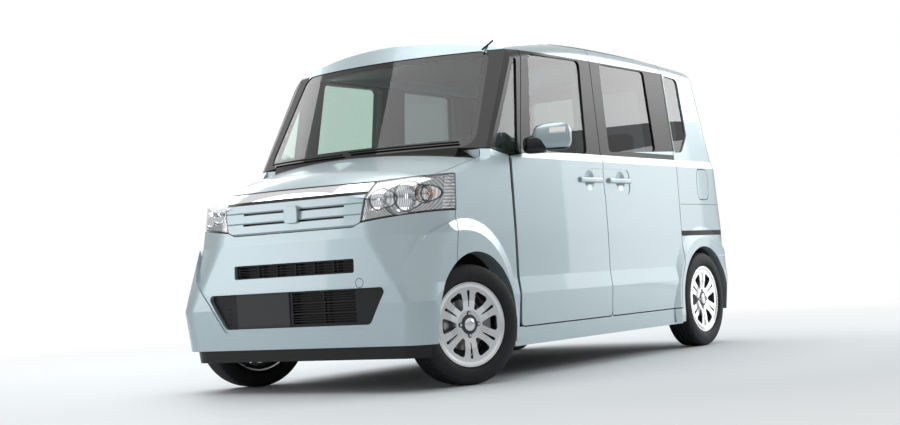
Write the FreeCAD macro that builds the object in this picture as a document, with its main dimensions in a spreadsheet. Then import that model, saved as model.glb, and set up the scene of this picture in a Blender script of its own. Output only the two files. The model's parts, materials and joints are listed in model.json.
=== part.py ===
import FreeCAD, Part
import math
import os
import Sketcher
from FreeCAD import Placement, Rotation, Vector

# Kei car: a tall one-box wagon with two hinged front doors, two sliding rear doors and a top-hinged tailgate.
# Millimetres.  The car faces -Y, +X is its own left, +Z is up and the ground is z = 0.  The origin lies on the
# ground under the middle of the body.

doc = FreeCAD.newDocument("KeiCar")

# ---------------------------------------------------------------------------------------------------------
# Driving sizes: name, value in millimetres or degrees, what it measures
# ---------------------------------------------------------------------------------------------------------
SIZES = [
    ("body_length", 3395, "bumper face to bumper face"),
    ("half_wheelbase", 1260, "middle of the car to either axle"),
    ("half_track", 652.5, "centre line to the middle of a tyre"),
    ("half_width", 737.5, "centre line to the lip of a wheel arch"),
    ("ground_clearance", 150, "ground to the lowest edge of the body"),
    ("wall", 62, "thickness of the doors and side walls"),
    ("roof_wall", 45, "thickness of the roof with its bows and lining"),
    ("nose_wall", 34, "thickness of the bonnet and the windscreen frame"),
    ("roof_edge", 80, "radius between the roof and the sides"),
    ("panel_gap", 6, "gap between two neighbouring panels"),
    ("glass", 5, "thickness of the glass"),
    ("tyre_radius", 277, "axle to ground"),
    ("tyre_width", 155, "widest part of the tyre"),
    ("tread_width", 118, "flat part of the tread"),
    ("tyre_shoulder", 22, "radius between tread and side wall"),
    ("bead_radius", 178, "rim seat, 14 inch"),
    ("flange_radius", 194, "edge of the rim"),
    ("rim_width", 130, "over the flanges"),
    ("hub_face", 40, "middle of the tyre to the wheel's mounting face"),
    ("spoke_count", 6, "pairs of spokes"),
    ("stud_circle", 50, "radius of the wheel nuts' circle"),
    ("front_arch", 332, "radius of the front wheel opening"),
    ("rear_arch", 312, "radius of the rear wheel opening"),
    ("liner", 5, "thickness of the wheel arch liners"),
    ("kingpin", 600, "centre line to the steering axis"),
    ("rest_steer", 21, "front wheels turned to the right as parked"),
    ("disc_radius", 118, "front brake disc"),
    ("disc_thickness", 18, "front brake disc"),
    ("drum_radius", 100, "rear brake drum"),
    ("drum_depth", 62, "rear brake drum"),
    ("floor_height", 330, "top of the cabin floor"),
    ("floor_sheet", 20, "thickness of the floor with its ribs"),
    ("engine_width", 600, "engine with its gearbox, across the car"),
    ("engine_length", 470, "engine, along the car"),
    ("engine_height", 510, "engine, sump to cam cover"),
    ("tank_width", 660, "fuel tank, across the car"),
    ("tank_length", 600, "fuel tank, along the car"),
    ("tank_height", 130, "fuel tank, bottom to top"),
    ("steering_radius", 182, "middle of the steering wheel's rim"),
    ("steering_grip", 14, "radius of the steering wheel's rim section"),
]

sheet = doc.addObject("Spreadsheet::Sheet", "Sizes")
for row, (alias, value, meaning) in enumerate(SIZES, start=1):
    sheet.set(f"A{row}", meaning)
    sheet.set(f"B{row}", str(value))
    sheet.setAlias(f"B{row}", alias)
doc.recompute()


def size(alias):
    """The number in the sheet's cell of that name."""
    return float(sheet.get(alias))


GAP = size("panel_gap")
FRONT_AXLE = -size("half_wheelbase")
REAR_AXLE = size("half_wheelbase")
AXLE_HEIGHT = size("tyre_radius")
FAR = 1000.0          # reach of a cutting solid beyond the body
nodes = {}            # node name -> document object whose shape is exported


# ---------------------------------------------------------------------------------------------------------
# Outlines and prisms
# ---------------------------------------------------------------------------------------------------------
def round_cornered(corners, place):
    """Lines and arcs of a closed outline through corners (a, b) or (a, b, radius), in order."""
    flat = [Vector(corner[0], corner[1], 0) for corner in corners]
    bends = []
    for index, corner in enumerate(corners):
        radius = corner[2] if len(corner) > 2 else 0
        here = flat[index]
        back = (flat[index - 1] - here).normalize()
        ahead = (flat[(index + 1) % len(flat)] - here).normalize()
        half = back.getAngle(ahead) / 2
        reach = radius / math.tan(half)
        inward = (back + ahead).normalize() if radius else Vector()
        middle = here + inward * (radius / math.sin(half) - radius)
        bends.append((here + back * reach, middle, here + ahead * reach, radius))
    curves = []
    for index, (start, middle, end, radius) in enumerate(bends):
        if radius:
            curves.append(Part.Arc(place(*start[:2]), place(*middle[:2]), place(*end[:2])))
        following = bends[(index + 1) % len(bends)][0]
        if end.distanceToPoint(following) > 1e-6:
            curves.append(Part.LineSegment(place(*end[:2]), place(*following[:2])))
    return curves


def outline(corners, place):
    """Closed wire through corners (a, b) or (a, b, radius); place(a, b) puts a corner in space."""
    return Part.Wire([curve.toShape() for curve in round_cornered(corners, place)])


def side_prism(corners, x_from, x_to, grow=0):
    """Solid whose outline is corners (y, z), reaching from x_from to x_to, its outline grown by grow."""
    face = Part.Face(outline(corners, lambda y, z: Vector(x_from, y, z)))
    if grow:
        face = face.makeOffset2D(grow, 2)
    return face.extrude(Vector(x_to - x_from, 0, 0))


def front_prism(corners, y_from, y_to, grow=0):
    """Solid whose outline is corners (x, z), reaching from y_from to y_to, its outline grown by grow."""
    face = Part.Face(outline(corners, lambda x, z: Vector(x, y_from, z)))
    if grow:
        face = face.makeOffset2D(grow, 2)
    return face.extrude(Vector(0, y_to - y_from, 0))


def plan_prism(corners, z_from, z_to, grow=0):
    """Solid whose outline is corners (x, y), reaching from z_from to z_to, its outline grown by grow."""
    face = Part.Face(outline(corners, lambda x, y: Vector(x, y, z_from)))
    if grow:
        face = face.makeOffset2D(grow, 2)
    return face.extrude(Vector(0, 0, z_to - z_from))


def block(x_from, x_to, y_from, y_to, z_from, z_to, radius=0):
    """Box between two corners, its twelve edges rounded by radius."""
    low = Vector(x_from, y_from, z_from)
    solid = Part.makeBox(x_to - x_from, y_to - y_from, z_to - z_from, low)
    return solid.makeFillet(radius, solid.Edges) if radius else solid


def rod(start, end, radius):
    """Round bar between two points."""
    path = Vector(*end) - Vector(*start)
    return Part.makeCylinder(radius, path.Length, Vector(*start), path)


def mirrored(shape):
    """The same shape on the other side of the car."""
    return shape.mirror(Vector(0, 0, 0), Vector(1, 0, 0))


def both(shape):
    """A left-hand shape and its mirror image as one compound."""
    return Part.makeCompound([shape, mirrored(shape)])


def fused(shapes):
    """One solid from shapes that touch or overlap."""
    first, *others = shapes
    return first.fuse(others).removeSplitter() if others else first


def solids_of(shape, smallest=20000):
    """The solids of a boolean's result without the slivers that are smaller than smallest cubic mm."""
    kept = [solid for solid in shape.Solids if solid.Volume > smallest]
    return kept[0] if len(kept) == 1 else Part.makeCompound(kept)


def add_node(name, shape, place=None):
    """Puts a finished shape into the document as the sub-part of that name."""
    feature = doc.addObject("Part::Feature", name)
    feature.Shape = shape
    feature.Placement = place or shape.Placement
    feature.Label = name
    nodes[name] = feature
    return feature


# ---------------------------------------------------------------------------------------------------------
# The body's outer and inner forms
# ---------------------------------------------------------------------------------------------------------
# Sections in plan: height, half width, front face y, front corner radius, rear face y, rear corner radius
LEVELS = [
    (150, 716, -1676, 125, 1672, 150),
    (400, 734, -1695, 118, 1697, 155),
    (480, 725, -1695, 155, 1694, 150),
    (700, 726, -1686, 300, 1688, 150),
    (1060, 720, -1640, 350, 1652, 155),
    (1100, 708, -1636, 350, 1640, 155),
    (1800, 662, -1560, 350, 1448, 175),
]
TAPER = 12              # the sides close in by this much ahead of the front doors and behind the rear ones
TAPER_FRONT = -872
TAPER_REAR = 985
ROOF_TOP = (150, 1771)          # y and z of the highest point
ROOF_CROWN = 2300               # radius of the roof across the car
ROOF_BENDS = [(5600, 35), (-20000, 8)]      # radius along the car and angle, ahead of the top and behind it
NOSE_CROWN = 2750               # radius of the bonnet across the car
NOSE_START = (-700, 1246)       # y and z on the centre line, inside the cabin
NOSE_BEND = (-1480, 1030, 400)  # y and z where the front edge starts to round over, and its radius
NOSE_ANGLES = (15.5, 50)        # slope of the bonnet and of its front edge
SCREEN_BASE = (-1199, 1101)     # y and z of the windscreen's lower edge on the centre line
SCREEN_RADIUS = 1848            # radius of the windscreen, a slanting cylinder
SCREEN_SLOPE = 320 / 505        # mm rearwards for each mm upwards
TRIM_HALF = 800                 # half width over which roof, nose and screen are drawn


def plan_wire(height, half, front, front_radius, rear, rear_radius, inset):
    """One section of the body in plan, moved inwards by inset, with round corners."""
    half -= inset
    front += inset
    rear -= inset
    front_radius = max(front_radius - inset, 20)
    rear_radius = max(rear_radius - inset, 20)
    ends = half - TAPER
    right = [(ends, front, front_radius), (half, TAPER_FRONT), (half, TAPER_REAR), (ends, rear, rear_radius)]
    left = [(-corner[0], *corner[1:]) for corner in reversed(right)]
    return outline(right + left, lambda x, y: Vector(x, y, height))


def crown_face(y, top, crown, bottom):
    """Upright face across the car: an arc of radius crown on top, flat at the bottom."""
    sag = crown - math.sqrt(crown ** 2 - TRIM_HALF ** 2)
    arc = Part.Arc(Vector(-TRIM_HALF, y, top - sag), Vector(0, y, top), Vector(TRIM_HALF, y, top - sag))
    rest = Part.makePolygon([
        Vector(TRIM_HALF, y, top - sag),
        Vector(TRIM_HALF, y, bottom),
        Vector(-TRIM_HALF, y, bottom),
        Vector(-TRIM_HALF, y, top - sag),
    ])
    return Part.Face(Part.Wire([arc.toShape()] + rest.Edges))


def under_roof(inset):
    """Everything under the roof's surface moved down by inset: two turns about far axes."""
    y, top = ROOF_TOP
    face = crown_face(y, top - inset, ROOF_CROWN, 100)
    parts = []
    for radius, angle in ROOF_BENDS:
        turn = angle if radius > 0 else -angle
        parts.append(face.revolve(Vector(0, y, top - inset - abs(radius)), Vector(1, 0, 0), turn))
    return parts[0].fuse(parts[1])


def under_nose(inset):
    """Everything under the bonnet's surface moved down by inset: straight, rounded over, straight."""
    slope, steep = [math.radians(angle) for angle in NOSE_ANGLES]
    start_y, start_z = NOSE_START
    bend_y, bend_z, radius = NOSE_BEND
    face = crown_face(start_y, start_z - inset, NOSE_CROWN, -400)
    back = face.extrude(Vector(0, bend_y - start_y, bend_z - start_z))
    turning = crown_face(bend_y, bend_z - inset, NOSE_CROWN, -400)
    axis = Vector(0, bend_y + radius * math.sin(slope), bend_z - inset - radius * math.cos(slope))
    bend = turning.common(block(-FAR, FAR, bend_y - 1, bend_y + 1, axis.z, 3 * FAR))
    bend = bend.revolve(axis, Vector(1, 0, 0), math.degrees(steep - slope))
    end = Vector(0, axis.y - radius * math.sin(steep), axis.z + radius * math.cos(steep))
    lip = crown_face(end.y, end.z, NOSE_CROWN, -400)
    front = lip.extrude(Vector(0, -200, -200 * math.tan(steep)))
    below = lip.extrude(Vector(0, bend_y - end.y, 0))
    return back.fuse([bend, front, below])


def behind_screen(inset):
    """Everything behind the windscreen's surface moved rearwards by inset, square to the glass."""
    lean = math.atan(SCREEN_SLOPE)
    radius = SCREEN_RADIUS - inset
    down = 1300
    middle = Vector(0, SCREEN_BASE[0] - down * SCREEN_SLOPE + SCREEN_RADIUS / math.cos(lean), SCREEN_BASE[1] - down)
    return Part.makeCylinder(radius, 3000, middle, Vector(0, math.sin(lean), math.cos(lean)))


def body_form(inset, roof_inset, nose_inset, edge_radius=0):
    """The whole body as a solid, moved inwards by inset at the sides, roof_inset and nose_inset on top."""
    plan = Part.makeLoft([plan_wire(*level, inset) for level in LEVELS], True, True)
    form = plan.common(under_roof(roof_inset))
    if edge_radius:
        roof_faces = [face for face in form.Faces if face.Surface.TypeId == "Part::GeomToroid"]
        roof_edges = [edge for face in roof_faces for edge in face.Edges if face.CenterOfMass.z > 1500]
        rim = [edge for edge in roof_edges if sum(edge.isSame(other) for other in roof_edges) == 1]
        form = form.makeFillet(edge_radius, rim)
    open_air = block(-FAR, FAR, -2400, 200, 500, 2200)
    open_air = open_air.cut(behind_screen(nose_inset)).cut(under_nose(nose_inset))
    return form.cut(open_air)


outer = body_form(0, 0, 0, size("roof_edge"))
inner = body_form(size("wall"), size("roof_wall"), size("nose_wall"))
deep = body_form(size("wall") + 30, size("roof_wall") + 30, size("nose_wall") + 10)

# ---------------------------------------------------------------------------------------------------------
# Wheel arches, their flares and the shell
# ---------------------------------------------------------------------------------------------------------
FLARE_RISE = (18, -6)   # the flares and the bumper's lower band stand this far out, sideways and forwards
# Wheel arches: axle and radius of the opening
ARCHES = [
    (FRONT_AXLE, size("front_arch")),
    (REAR_AXLE, size("rear_arch")),
]
# Flares: y and z of their own middle, radii of the inner edge, the crease and the outer edge
FLARES = [
    (-1325, 335, 240, 372, 428),
    (REAR_AXLE, AXLE_HEIGHT, 270, 366, 430),
]
FLARE_DROP = 12         # the flare's outer edge lies this much inside the lip's plane
BAND_START = -1590      # y where the front flares pass into the bumper's band
# Front view of the raised band under the headlamps and round the lower grille: x, z, radius
FRONT_BAND = [
    (-40, 290), (430, 290, 30), (520, 427, 60), (606, 544, 60), (636, 620, 60), (660, 700), (800, 700), (800, 60),
    (-40, 60),
]


def arch_opening(axle, radius, x_from, x_to):
    """The space of one wheel opening: a cylinder round the axle with straight sides below it."""
    barrel = Part.makeCylinder(radius, x_to - x_from, Vector(x_from, axle, AXLE_HEIGHT), Vector(1, 0, 0))
    legs = block(x_from, x_to, axle - radius, axle + radius, -10, AXLE_HEIGHT)
    return barrel.fuse(legs)


def flare(middle_y, middle_z, within, crease, reach):
    """Flat lip round a wheel opening with a cone outside its crease, down to the side of the body."""
    lip = size("half_width")
    section = Part.makePolygon([
        Vector(400, middle_y, middle_z + within),
        Vector(lip, middle_y, middle_z + within),
        Vector(lip, middle_y, middle_z + crease),
        Vector(lip - FLARE_DROP, middle_y, middle_z + reach),
        Vector(400, middle_y, middle_z + reach),
        Vector(400, middle_y, middle_z + within),
    ])
    ring = Part.Face(section).revolve(Vector(0, middle_y, middle_z), Vector(1, 0, 0), 360)
    return ring.common(block(400, 800, BAND_START, 1800, 160, 900))


raised = outer.copy()
raised.translate(Vector(*FLARE_RISE, 0))
band = raised.common(front_prism(FRONT_BAND, -1800, BAND_START))
band = band.common(block(-40, size("half_width"), -1800, -1500, 0, 900))
left_side = [band] + [raised.common(flare(*row)) for row in FLARES]
outer = outer.fuse(left_side + [mirrored(one) for one in left_side])

arches = []
for axle, opening in ARCHES:
    left = arch_opening(axle, opening, 300, 900)
    arches.extend([left, mirrored(left)])

FLOOR_LINE = 235        # under this height the side walls are solid sills
cabin = inner.cut(block(-900, 900, -1800, 1800, 0, FLOOR_LINE))
under_floor = block(-640, 640, -1620, 1620, 0, FLOOR_LINE + 1)


def wall(prism):
    """The part of the body's wall that lies in a prism, without the wheel openings and the floor."""
    piece = outer.common(prism).cut(cabin.common(prism))
    for opening in arches + [under_floor]:
        piece = piece.cut(opening)
    return piece


def whole(left_half):
    """A piece and its mirror image joined where they meet on the centre line."""
    return left_half.fuse(mirrored(left_half)).removeSplitter()


def left_half(prism):
    """The part of a prism on the car's left."""
    return prism.common(block(0, 900, -2000, 2000, 0, 2000))


# ---------------------------------------------------------------------------------------------------------
# Where the panels meet: side views are (y, z, radius), front views (x, z, radius), plans (x, y, radius)
# ---------------------------------------------------------------------------------------------------------
FRONT_DOOR = [(-872, 240, 30), (-872, 1068, 20), (-765, 1078, 20), (-628, 1676, 10), (69, 1676, 10), (69, 240, 30)]
SLIDING_DOOR = [(69, 240, 20), (69, 1676, 10), (940, 1672, 30), (985, 1125), (985, 240)]
FRONT_DOOR_WINDOW = [(-666, 1086, 40), (-576, 1592, 40), (-46, 1596, 30), (-80, 1100, 30)]
SLIDING_DOOR_WINDOW = [(176, 1118, 25), (176, 1600, 30), (716, 1598, 30), (752, 1140, 30)]
FRONT_QUARTER_WINDOW = [(-1006, 1088, 25), (-722, 1560, 12), (-700, 1556, 12), (-792, 1082, 12)]
REAR_QUARTER_WINDOW = [(1004, 1140, 20), (966, 1598, 25), (1165, 1586, 40), (1205, 1250, 40), (1110, 1150, 40)]
FUEL_LID = [(1263, 870, 45), (1263, 1050, 45), (1423, 1050, 45), (1423, 870, 45)]
BONNET_PLAN = [
    (-606, -1800), (-606, -1560, 60), (-655, -1340, 60), (-668, -1058, 20),
    (668, -1058, 20), (655, -1340, 60), (606, -1560, 60), (606, -1800),
]
BUMPER_TOP = [
    (-800, 808), (-700, 800), (-392, 766, 10), (-350, 748, 20),
    (350, 748, 20), (392, 766, 10), (700, 800), (800, 808), (800, 50), (-800, 50),
]
BUMPER_SPLIT = [(-1900, 50), (-1900, 900), (-1372, 900), (-1385, 800), (-1425, 560), (-1425, 50)]
HEADLAMP = [(392, 769, 12), (424, 950, 12), (690, 970, 10), (800, 976), (800, 806), (700, 803)]
HEADLAMP_SPLIT = [(-1900, 700), (-1900, 1000), (-1355, 1000), (-1388, 700)]
UPPER_GRILLE = [
    (-424, 950, 12), (-392, 769, 10), (-350, 751, 20), (350, 751, 20), (392, 769, 10), (424, 950, 12),
]
LOWER_GRILLE = [(-532, 473, 20), (-428, 308, 30), (428, 308, 30), (532, 473, 20)]
SLIT_GRILLE = [(-355, 543, 10), (-355, 607, 10), (355, 607, 10), (355, 543, 10)]
WINDSCREEN = [(-636, 1112, 60), (-574, 1604, 60), (574, 1604, 60), (636, 1112, 60)]
TAILGATE = [(-598, 532, 40), (-565, 1800), (565, 1800), (598, 532, 40)]
TAILGATE_WINDOW = [(-560, 1150, 50), (-520, 1592, 50), (520, 1592, 50), (560, 1150, 50)]
TAIL_LAMP = [(600, 705, 12), (600, 1282, 12), (800, 1282), (800, 705)]
TAILGATE_ROOF_LINE = 1420       # y of the gap between the roof and the tailgate
REAR_BUMPER_TOP = 532
REAR_BUMPER_BOTTOM = 205
ROOF_SIDE = 560                 # the roof panel reaches this far from the centre line


def left_wall(corners, grow=0):
    """Prism through the left side of the body only."""
    return side_prism(corners, 596, 900, grow)


door_hole = left_wall(FRONT_DOOR, GAP / 2)
sliding_hole = left_wall(SLIDING_DOOR, GAP / 2)
rear_arch_ring = Part.makeCylinder(
    size("rear_arch") + 33, 500, Vector(420, REAR_AXLE, AXLE_HEIGHT), Vector(1, 0, 0))
sliding_hole = sliding_hole.cut(rear_arch_ring)

DOOR_HINGE = (700, -838)        # x and y of the left front door's hinge line
HINGE_REACH = (42, -32)         # from the hinge line to the door's outer front corner, along x and y
swing_radius = math.hypot(*HINGE_REACH) + GAP
hinge_swing = Part.makeCylinder(swing_radius, 860, Vector(*DOOR_HINGE, FRONT_DOOR[0][1]))

# ---------------------------------------------------------------------------------------------------------
# Roof and side frames
# ---------------------------------------------------------------------------------------------------------
screen_hole = front_prism(WINDSCREEN, -1400, -600)
tailgate_hole = front_prism(TAILGATE, TAILGATE_ROOF_LINE - GAP / 2, 1900, GAP / 2)
roof = wall(block(0, ROOF_SIDE, -1000, 1600, 1560, 1900)).cut(screen_hole).cut(tailgate_hole)
add_node("roof_panel", whole(solids_of(roof)))

SIDE_FRAME = [
    (-968, 100), (-968, 240), (-872 + 3, 240), (-872 + 3, 1068), (-1085, 1108), (-700, 1900), (1900, 1900),
    (1900, REAR_BUMPER_TOP), (REAR_AXLE + 200, REAR_BUMPER_TOP), (REAR_AXLE + 200, 100),
]
side = wall(side_prism(SIDE_FRAME, ROOF_SIDE, 900))
# the door openings' flanges: a second layer inside the doors, with the centre pillar between them
layer = inner.cut(deep).common(block(ROOF_SIDE, 800, -900, 1100, 200, 1700))
SILL_TOP = size("floor_height")         # the sills end level with the cabin floor
APERTURE_DEPTH = 30
flange_outline = left_wall(FRONT_DOOR, APERTURE_DEPTH).fuse(left_wall(SLIDING_DOOR, APERTURE_DEPTH))
clear_front = left_wall([(-842, SILL_TOP), (-842, 1050), (-735, 1100), (-600, 1640), (20, 1640), (20, SILL_TOP)])
clear_rear = left_wall([(118, SILL_TOP), (118, 1640), (905, 1636), (950, 1100), (950, 700), (880, SILL_TOP)])
flange = layer.common(flange_outline).cut(clear_front).cut(clear_rear)
flange = flange.cut(arch_opening(REAR_AXLE, size("rear_arch") + size("liner") + 3, 300, 900))
inner_clear = inner.copy()
inner_clear.translate(Vector(-GAP, 0, 0))
behind_doors = flange.common(inner_clear)
at_frame = flange.cut(door_hole).cut(sliding_hole)
side = side.cut(door_hole).cut(sliding_hole).cut(tailgate_hole)
side = side.cut(left_wall(FRONT_QUARTER_WINDOW)).cut(left_wall(REAR_QUARTER_WINDOW))
side = side.cut(screen_hole)
lamp_space = front_prism(TAIL_LAMP, 1400, 1900)
lamp_edge = side_prism([(1548, 600), (1572, 705), (1540, 1290), (1540, 1400), (1900, 1400), (1900, 600)], 400, 900)
lamp_space = lamp_space.common(lamp_edge)
side = side.cut(lamp_space)
# the sliding doors' middle rail: a groove along the quarter panel with a black cover in it
rail_zone = side_prism([(988, 655), (988, 685), (1597, 685), (1597, 655)], 560, 900)
groove_bottom = outer.copy()
groove_bottom.translate(Vector(-12, -8, 0))
rail_face = outer.copy()
rail_face.translate(Vector(-2, 0, 0))
rail = rail_zone.common(rail_face).cut(groove_bottom)
side = side.cut(rail_zone.common(outer).cut(groove_bottom))
side = side.fuse([behind_doors, at_frame])
side = side.cut(arch_opening(REAR_AXLE, size("rear_arch"), 300, 900)).cut(hinge_swing)
side = solids_of(side)
fuel_hole = left_wall(FUEL_LID, GAP / 2)
add_node("slide_rails", both(solids_of(rail, 1000)))
add_node("side_frame_left", solids_of(side.cut(fuel_hole)))
add_node("side_frame_right", mirrored(side))

# ---------------------------------------------------------------------------------------------------------
# Doors: each is cut from the wall, its own gap line moved in by half the gap
# ---------------------------------------------------------------------------------------------------------
# Pull handles: y of the cup's middle, y of the grip's ends, y of the tray's far edge
HANDLE_HEIGHT = 963
FRONT_HANDLE = (-90, -205, 44, -215)
REAR_HANDLE = (262, 118, 372, 368)
CUP_RADIUS = 58
CUP_DEPTH = 17
SKIN = 721.6            # x of the side at the handles' height


def with_handle(door, cup, grip_from, grip_to, tray_edge):
    """Door with a shallow tray, a round cup and a grip across it that is fixed at both ends."""
    low, high = HANDLE_HEIGHT - 76, HANDLE_HEIGHT + 60
    tray = side_prism([(69, low), (69, high), (tray_edge, high, 40), (tray_edge, low, 40)], 600, 900)
    surface = outer.copy()
    surface.translate(Vector(-3, 0, 0))
    ball = (CUP_RADIUS ** 2 + CUP_DEPTH ** 2) / (2 * CUP_DEPTH)
    dish = Part.makeSphere(ball, Vector(SKIN - CUP_DEPTH + ball, cup, HANDLE_HEIGHT))
    grip = block(SKIN - 12, SKIN + 14, grip_from, grip_to, HANDLE_HEIGHT - 15, HANDLE_HEIGHT + 13, 9)
    return door.cut(tray.cut(surface)).cut(dish).fuse(grip)


front_door = wall(left_wall(FRONT_DOOR, -GAP / 2)).cut(left_wall(FRONT_DOOR_WINDOW))
latch_reach = math.hypot(HINGE_REACH[0], 69 - GAP / 2 - DOOR_HINGE[1])
latch_swing = Part.makeCylinder(latch_reach, 2000, Vector(DOOR_HINGE[0], DOOR_HINGE[1], 0))
front_door = solids_of(with_handle(front_door.common(latch_swing), *FRONT_HANDLE))
add_node("front_door_left", front_door)
add_node("front_door_right", mirrored(front_door))

sliding_door = wall(left_wall(SLIDING_DOOR, -GAP / 2)).cut(left_wall(SLIDING_DOOR_WINDOW))
sliding_clear = Part.makeCylinder(
    size("rear_arch") + 33 + GAP, 500, Vector(420, REAR_AXLE, AXLE_HEIGHT), Vector(1, 0, 0))
sliding_door = solids_of(with_handle(sliding_door.cut(sliding_clear), *REAR_HANDLE))
add_node("sliding_doors", both(sliding_door))


def side_glass(window):
    """Pane in the left wall that fills the outline of its window, a little under the outer face."""
    near = outer.copy()
    near.translate(Vector(-8, 0, 0))
    far = outer.copy()
    far.translate(Vector(-8 - size("glass"), 0, 0))
    opening = left_wall(window)
    return solids_of(near.common(opening).cut(far), 1000)


door_glass = side_glass(FRONT_DOOR_WINDOW)
add_node("front_door_glass_left", door_glass)
add_node("front_door_glass_right", mirrored(door_glass))
side_panes = [side_glass(window) for window in (SLIDING_DOOR_WINDOW, FRONT_QUARTER_WINDOW, REAR_QUARTER_WINDOW)]
add_node("side_glass", Part.makeCompound(side_panes + [mirrored(pane) for pane in side_panes]))

# ---------------------------------------------------------------------------------------------------------
# Windscreen, tailgate and their glass
# ---------------------------------------------------------------------------------------------------------
pane = behind_screen(4).cut(behind_screen(4 + size("glass"))).common(block(-700, 700, -1300, -600, 1000, 1700))
add_node("windscreen", solids_of(pane.common(front_prism(WINDSCREEN, -1400, -600)), 1000))

tailgate = wall(left_half(front_prism(TAILGATE, TAILGATE_ROOF_LINE + GAP / 2, 1900, -GAP / 2)))
tailgate_window = front_prism(TAILGATE_WINDOW, 1300, 1900)
PLATE_RECESS = [(-195, 640, 14), (-195, 828, 14), (195, 828, 14), (195, 640, 14)]
recess_bottom = outer.copy()
recess_bottom.translate(Vector(0, -16, 0))
plate_recess = front_prism(PLATE_RECESS, 1500, 1900).cut(recess_bottom)
tailgate = whole(solids_of(tailgate.cut(tailgate_window))).cut(plate_recess)
add_node("tailgate", tailgate)
near = outer.copy()
near.translate(Vector(0, -10, 0))
far = outer.copy()
far.translate(Vector(0, -10 - size("glass"), 0))
add_node("tailgate_glass", solids_of(near.common(tailgate_window).cut(far), 1000))

# ---------------------------------------------------------------------------------------------------------
# Nose: bonnet, wings, bumper, lamps and grilles
# ---------------------------------------------------------------------------------------------------------
bonnet_zone = plan_prism(BONNET_PLAN, 700, 1300).common(block(-900, 900, -1800, -1000, 953, 1300))
bonnet_clear = plan_prism(BONNET_PLAN, 700, 1300, GAP / 2).common(block(-900, 900, -1800, -1000, 947, 1300))
ahead_of_screen = block(-900, 900, -1900, -900, 700, 1300).cut(behind_screen(-22))
bonnet_zone = bonnet_zone.common(plan_prism(BONNET_PLAN, 700, 1300, -GAP / 2)).common(ahead_of_screen)
lamp_clear = front_prism(HEADLAMP, -1800, -1200, GAP / 2)
bonnet = whole(solids_of(wall(left_half(bonnet_zone)).cut(lamp_clear)))
add_node("bonnet", bonnet)

CHIN = 208              # under this height the bumper is a black lip, set back
set_back = Part.makeLoft([plan_wire(*level, 16) for level in LEVELS[:3]], True, True)
bumper_zone = front_prism(BUMPER_TOP, -1800, -1300, -GAP / 4).common(side_prism(BUMPER_SPLIT, -900, 900, -GAP / 4))
bumper = wall(left_half(bumper_zone))
grille_holes = [front_prism(LOWER_GRILLE, -1800, -1500), front_prism(SLIT_GRILLE, -1800, -1500)]
lip = block(-900, 900, -1800, -1300, 100, CHIN).cut(set_back)
bumper = whole(solids_of(bumper.cut(grille_holes).cut(lip)))
add_node("front_bumper", bumper)

lamp_prism = front_prism(HEADLAMP, -1800, -1200)
lamp_zone = lamp_prism.common(side_prism(HEADLAMP_SPLIT, 300, 900))
LENS = 4                # thickness of a headlamp's lens
under_lens = outer.copy()
under_lens.translate(Vector(-LENS, LENS, 0))
# Bowls: x and z of the middle, y of the deepest point, radius of the ball that cuts them, radius of the bulb
BOWLS = [(478, 865, -1622, 62, 7), (585, 872, -1546, 90, 13), (655, 880, -1488, 46, 8)]
headlamp = wall(lamp_zone)
lens = headlamp.cut(under_lens)
housing = headlamp.common(under_lens)
for x, z, deepest, radius, bulb_radius in BOWLS:
    housing = housing.cut(Part.makeSphere(radius, Vector(x, deepest - radius, z)))
    bulb = rod((x, deepest + 18, z), (x, deepest - radius / 3, z), bulb_radius)
    housing = housing.fuse(bulb)
add_node("headlamps", both(solids_of(housing)))
add_node("headlamp_lenses", both(solids_of(lens, 1000)))

grille_zone = front_prism(UPPER_GRILLE, -1800, -1500)
upper_grille = wall(left_half(grille_zone))
# Slots of the upper grille: half width, lower and upper edge, depth from the foremost point
GRILLE_SLOTS = [(300, 793, 803, 34), (300, 843, 853, 34), (430, 894, 906, 30)]
for half, bottom, top, depth in GRILLE_SLOTS:
    upper_grille = upper_grille.cut(block(-half, half, -1800, -1684 + depth, bottom, top))
# each slat leans back under its ridge
SLAT_RIDGES = [(753, 775, 793), (803, 825, 843), (853, 875, 894)]
for bottom, ridge, top in SLAT_RIDGES:
    lean_back = side_prism([(-1700, bottom - 1), (-1700, ridge), (-1697.4 + 0.128 * (ridge - 700), ridge),
                            (-1681 + 0.128 * (bottom - 700), bottom - 1)], -900, 900)
    upper_grille = upper_grille.cut(lean_back)
upper_grille = whole(solids_of(upper_grille))
boss = block(-40, 40, -1688, -1640, 789, 871, 3)
boss_corners = front_prism([(-40, 789, 22), (-40, 871, 22), (40, 871, 22), (40, 789, 22)], -1700, -1600)
add_node("upper_grille", upper_grille.fuse(boss.common(boss_corners)).removeSplitter())

grille_parts = []
for hole in grille_holes:
    grille_parts.append(whole(wall(left_half(hole))).cut(block(-900, 900, -1800, -1672, 0, 900)))
# Openings with bars: left, right, bottom, top, number of bars, number of uprights
MESHES = [
    (-25, 340, 322, 365, 3, 1), (-25, 340, 371, 415, 3, 1), (-25, 340, 421, 464, 3, 1), (-335, 335, 550, 600, 3, 5),
]
mesh_parts = []
for x_left, x_right, bottom, top, bar_count, upright_count in MESHES:
    opening = block(x_left, x_right, -1800, -1640, bottom, top)
    grille_parts = [part.cut(opening) for part in grille_parts]
    for number in range(1, bar_count + 1):
        middle = bottom + (top - bottom) * number / (bar_count + 1)
        mesh_parts.append(block(x_left - 2, x_right + 2, -1668, -1652, middle - 2, middle + 2))
    for number in range(1, upright_count + 1):
        middle = x_left + (x_right - x_left) * number / (upright_count + 1)
        mesh_parts.append(block(middle - 3, middle + 3, -1670, -1650, bottom - 2, top + 2))
blank_panel = block(-362, -42, -1675, -1660, 316, 470)
lower_grille = grille_parts[0].fuse(blank_panel).fuse(grille_parts[1]).fuse(mesh_parts)
add_node("lower_grille", solids_of(lower_grille))

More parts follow.
